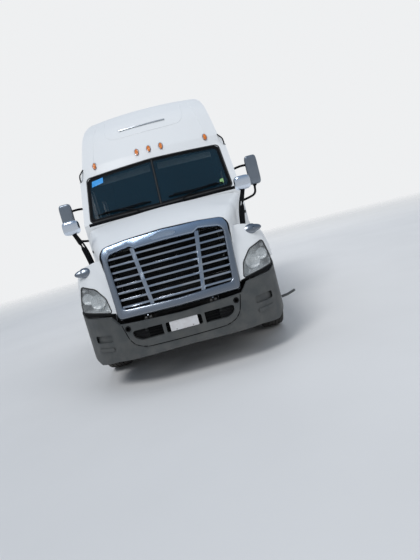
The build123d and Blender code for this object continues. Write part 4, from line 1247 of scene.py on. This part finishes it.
def make_interior():
    """Seats, bunk, instruments and wheel, seen through the glass."""
    cushion = block((0.33, 0.79), (2.905, 3.33), (1.415, 1.505))
    back = topped(block((0.335, 0.785), (3.37, 3.44), (1.52, 2.02)), (0, 0.088, 0), (0.9, 1, 1))
    rest = block((0.45, 0.67), (3.47, 3.535), (2.03, 2.105))
    for form, name, voxel, cap, fill in (
        (cushion, "seat_cushion", 0.01, 0.02, 0.7),
        (back, "seat_back", 0.01, 0.022, 0.7),
        (rest, "seat_headrest", 0.008, 0.01, 0.8),
    ):
        for made in pair(padded_form(form, voxel, cap), name, "seat_cloth"):
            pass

    shroud = soften(topped(block((0.39, 0.73), (2.98, 3.4), (1.1, 1.392)), size=(0.86, 0.9, 1)), 0.02, 3)
    pan = block((0.325, 0.795), (2.9, 3.4), (1.392, 1.412), 0.008)
    shell = topped(block((0.33, 0.79), (3.425, 3.455), (1.42, 2), 0.008), (0, 0.095, 0))
    stems = [drum((x, 3.52, 1.99), (x, 3.522, 2.04), 0.007, 12) for x in (0.51, 0.61)]
    arm_rest = block((0.3, 0.328), (3.13, 3.44), (1.64, 1.69), 0.012)
    frames = pair(joined([shroud, pan, shell, arm_rest, *stems]), "seat_frame", "cab_vinyl")
    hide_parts("seats")

    mattress = padded_form(block((-1.085, 1.085), (4.18, 4.93), (1.565, 1.67)), 0.018, 0.022)
    dress(mattress, "bunk_mattress", "mattress_cloth")
    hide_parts("bunk")
    base = block((-1.105, 1.105), (4.16, 4.95), (1.098, 1.56), 0.012)
    framed(base, lambda face: face.normal.y < -0.9, (0.05,), (0, 0.012, 0))
    dress(base, "bunk_base", "cab_vinyl")

    wheel = soften(copy_of("steering_wheel", 1), 0.0095, 4, 40)
    dress(wheel, "steering_rim", "black_plastic", "steering_wheel_body", "cab_grey")
    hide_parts("steering_wheel")

    hood = topped(block((0.24, 0.8), (2.34, 2.49), (1.86, 1.925)), size=(0.85, 0.8, 1))
    panel = [soften(hood, 0.02, 4)]
    for x, z, radius in (
        (0.42, 1.8, 0.052), (0.62, 1.8, 0.052),
        (0.3, 1.825, 0.026), (0.74, 1.825, 0.026), (0.3, 1.765, 0.026), (0.74, 1.765, 0.026),
    ):
        panel.append(drum((x, 2.44, z), (x, 2.468, z + 0.004), radius, 28, 0.003))
    for x in (-0.85, -0.45, -0.05, 0.95):
        panel.append(block((x - 0.06, x + 0.06), (2.43, 2.462), (1.76, 1.82), 0.008))
    dress(joined(panel), "instrument_panel", "black_plastic", slot="cab_grey")


make_lining()
make_interior()


# Tanks, steps, rear lamps, fifth wheel and frame fittings.
def make_chassis_fittings():
    """What is bolted to the frame behind and below the cab."""
    cap = [
        drum((0.93, 3.24, 0.905), (0.97, 3.24, 0.955), 0.062, 32, 0.004),
        drum((0.966, 3.24, 0.95), (0.988, 3.24, 0.9775), 0.07, 20, 0.005),
        block((0.968, 1.01), (3.228, 3.252), (0.962, 0.988), 0.006),
    ]
    pair(joined(cap), "fuel_cap", "satin_silver", slot="tank_aluminium")
    rows = [(-0.006, 0.2995), (0, 0.3035), (0.006, 0.2995)]
    seams = [lathe(rows, (0.8, station, 0.65), LENGTHWISE, 72) for station in (3.118, 4.662)]
    pair(joined(seams), "tank_seams", "polished_aluminium")
    clamps = []
    for station in (3.39, 4.39):
        clamps.append(block((1.085, 1.118), (station - 0.018, station + 0.018), (0.8, 0.842), 0.004))
        clamps.append(drum((1.1, station, 0.78), (1.072, station, 0.868), 0.008, 10))
    pair(joined(clamps), "strap_clamps", "bare_steel")

    ribs = []
    for low, high, z in ((1.02, 1.188, 0.43), (1.068, 1.188, 0.68)):
        for i in range(7):
            x = low + (high - low) * (i + 0.5) / 7
            ribs.append(block((x - 0.006, x + 0.006), (2.075, 2.825), (z - 0.001, z + 0.007), 0.002, 1))
    pair(joined(ribs), "step_grips", "satin_silver", slot="tank_aluminium")

    lens_rows = [(0.0075, 0), (0.007, 0.02), (0.005, 0.036), (0.001, 0.045), (-0.004, 0.046)]
    rim_rows = [(0, 0.0465), (0, 0.05), (0.007, 0.05), (0.009, 0.048), (0.007, 0.0465)]
    lamp_bar = [block((-0.4, 0.4), (8.33, 8.342), (0.84, 0.96), 0.003)]
    for x in (0.19, -0.19, 0.33, -0.33):
        lamp_bar.append(lathe(rim_rows, (x, 8.341, 0.9), LENGTHWISE, 36, True))
    bar = joined(lamp_bar)
    dress(bar, "tail_lamp_bar", "black_plastic", slot="chassis_black")
    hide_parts("tail_lamps")
    lenses = [lathe(lens_rows, (x, 8.3415, 0.9), LENGTHWISE, 36) for x in (0.19, 0.33)]
    pair(thicken(joined(lenses), 0.003), "tail_lens", "red_lens")

    rows = [(0, 0.0258), (0, 0.052), (-0.03, 0.052), (-0.03, 0.0258)]
    jaws = lathe(rows, (0, 7.08, 1.196), UPRIGHT, 48, True)
    carve(jaws, block((-0.0262, 0.0262), (7.08, 7.3), (1.1, 1.25)))
    dress(jaws, "kingpin_jaws", "bare_steel", "coupling_plate", "greased_steel")
    handle = tube([(-0.25, 7, 1.15), (-0.46, 7.02, 1.14), (-0.52, 7.03, 1.135)], 0.011, rounding=0.02)
    knob = drum((-0.515, 7.03, 1.1355), (-0.56, 7.036, 1.132), 0.016, 20, 0.004)
    dress(joined([handle, knob]), "release_handle", "bare_steel", "coupling_plate")

    bolts = []
    for station in (2.26, 3.31, 4.91, 6.52, 6.7, 6.88, 7.28, 7.46, 7.83, 8.01, 8.2):
        for z in (0.8, 0.9):
            bolts.append(drum((0.4285, station, z), (0.4325, station, z), 0.01595, 18))
            bolts.append(drum((0.4305, station, z), (0.4385, station, z), 0.011, 6, 0.001))
    pair(joined(bolts), "rail_bolts", "chassis_paint")

    edge = block((0.61, 1.215), (8.29, 8.308), (0.925, 0.94), 0.003)
    weight = block((0.62, 1.205), (8.292, 8.306), (0.272, 0.3), 0.003)
    pair(joined([edge, weight]), "flap_bars", "satin_silver", slot="bare_steel")

    lamp = lathe([(0, 0), (0.02, 0.03), (0.016, 0.046), (0, 0.052)], (0, 5.002, 2.3), LENGTHWISE, 32)
    dress(thicken(lamp, 0.003), "deck_lamp", "reflector", slot="lamp_lens")
    places = side_on([(4.998, 1.25), (5.06, 1.27), (5.06, 1.93), (4.998, 1.95)], -0.62)
    dress(tube(places, 0.014, rounding=0.025), "rear_grab_rail", "satin_silver", slot="bare_steel")
    plate = board(front_on(corners((-0.3, 0.3), (1.2, 1.42)), 5), (0, 0.012, 0), 0.02, 0.004)
    dress(plate, "air_line_bracket", "chassis_paint")


make_chassis_fittings()


# The floor, the backdrop's colour and the lamps.
def make_stage():
    """A pale floor, a plain pale world and soft lamps."""
    calm()
    bpy.ops.mesh.primitive_plane_add(size=160, location=(0, 20, 0))
    floor = settle(bpy.context.object)
    floor.name = "floor"
    ground = Finish("pale_floor")
    tint = ground.blend(ground.span(ground.noise(1.5), 0, 1), (0.74, 0.73, 0.72), (0.71, 0.70, 0.69))
    ground.set(Base_Color=tint, Roughness=0.8, Specular_IOR_Level=0.2)
    away = ground.node("ShaderNodeVectorMath", Vector=ground.place)
    away.operation = "LENGTH"
    faded = ground.span(away.outputs["Value"], 0, 1, 9, 26)
    clear = ground.node("ShaderNodeBsdfTransparent")
    mixed = ground.node("ShaderNodeMixShader", Fac=faded)
    for i, shader in enumerate((ground.shader, clear), 1):
        ground.feed(mixed.inputs[i], shader.outputs["BSDF"])
    ground.feed(ground.tree.nodes["Material Output"].inputs["Surface"], mixed.outputs["Shader"])
    floor.data.materials.append(ground.material)

    world = bpy.data.worlds.new("studio")
    bpy.context.scene.world = world
    sky = Shading(world)
    place = sky.node("ShaderNodeTexCoord").outputs["Generated"]
    height = sky.node("ShaderNodeSeparateXYZ", Vector=place).outputs["Z"]
    ramp = sky.node("ShaderNodeValToRGB", Fac=height)
    low, high = ramp.color_ramp.elements
    low.position, low.color = 0, (0.80, 0.82, 0.84, 1)
    high.position, high.color = 0.75, (0.36, 0.47, 0.62, 1)
    back = sky.tree.nodes["Background"]
    sky.feed(back.inputs["Color"], ramp.outputs["Color"])
    sky.feed(back.inputs["Strength"], 0.62)
    shown = sky.node("ShaderNodeBackground", Color=(0.86, 0.87, 0.88, 1))
    choice = sky.node("ShaderNodeMixShader", Fac=sky.node("ShaderNodeLightPath").outputs["Is Camera Ray"])
    for i, shader in enumerate((back, shown), 1):
        sky.feed(choice.inputs[i], shader.outputs["Background"])
    sky.feed(sky.tree.nodes["World Output"].inputs["Surface"], choice.outputs["Shader"])

    for name, place, target, size, power in (
        ("fill_lamp", (9, -10, 6), (0, -3, 1.5), 5, 220),
        ("top_lamp", (0, 1, 14), (0, 0.5, 2), 8, 380),
        ("rear_lamp", (6, 13, 9), (0, 2, 1.5), 6, 300),
    ):
        bpy.ops.object.light_add(type="AREA", location=place)
        lamp = bpy.context.object
        lamp.name = name
        lamp.data.size = size
        lamp.data.energy = power
        lamp.visible_glossy = False
        aim = Vector(target) - Vector(place)
        lamp.rotation_euler = aim.to_track_quat("-Z", "Y").to_euler()
    bpy.ops.object.light_add(type="SUN", location=(-6, -8, 12))
    key = bpy.context.object
    key.name = "key_lamp"
    key.data.energy = 1.3
    key.data.angle = math.radians(22)
    key.rotation_euler = Vector((0.42, 0.56, -1)).to_track_quat("-Z", "Y").to_euler()


make_stage()

bpy.context.scene.view_settings.view_transform = "Standard"
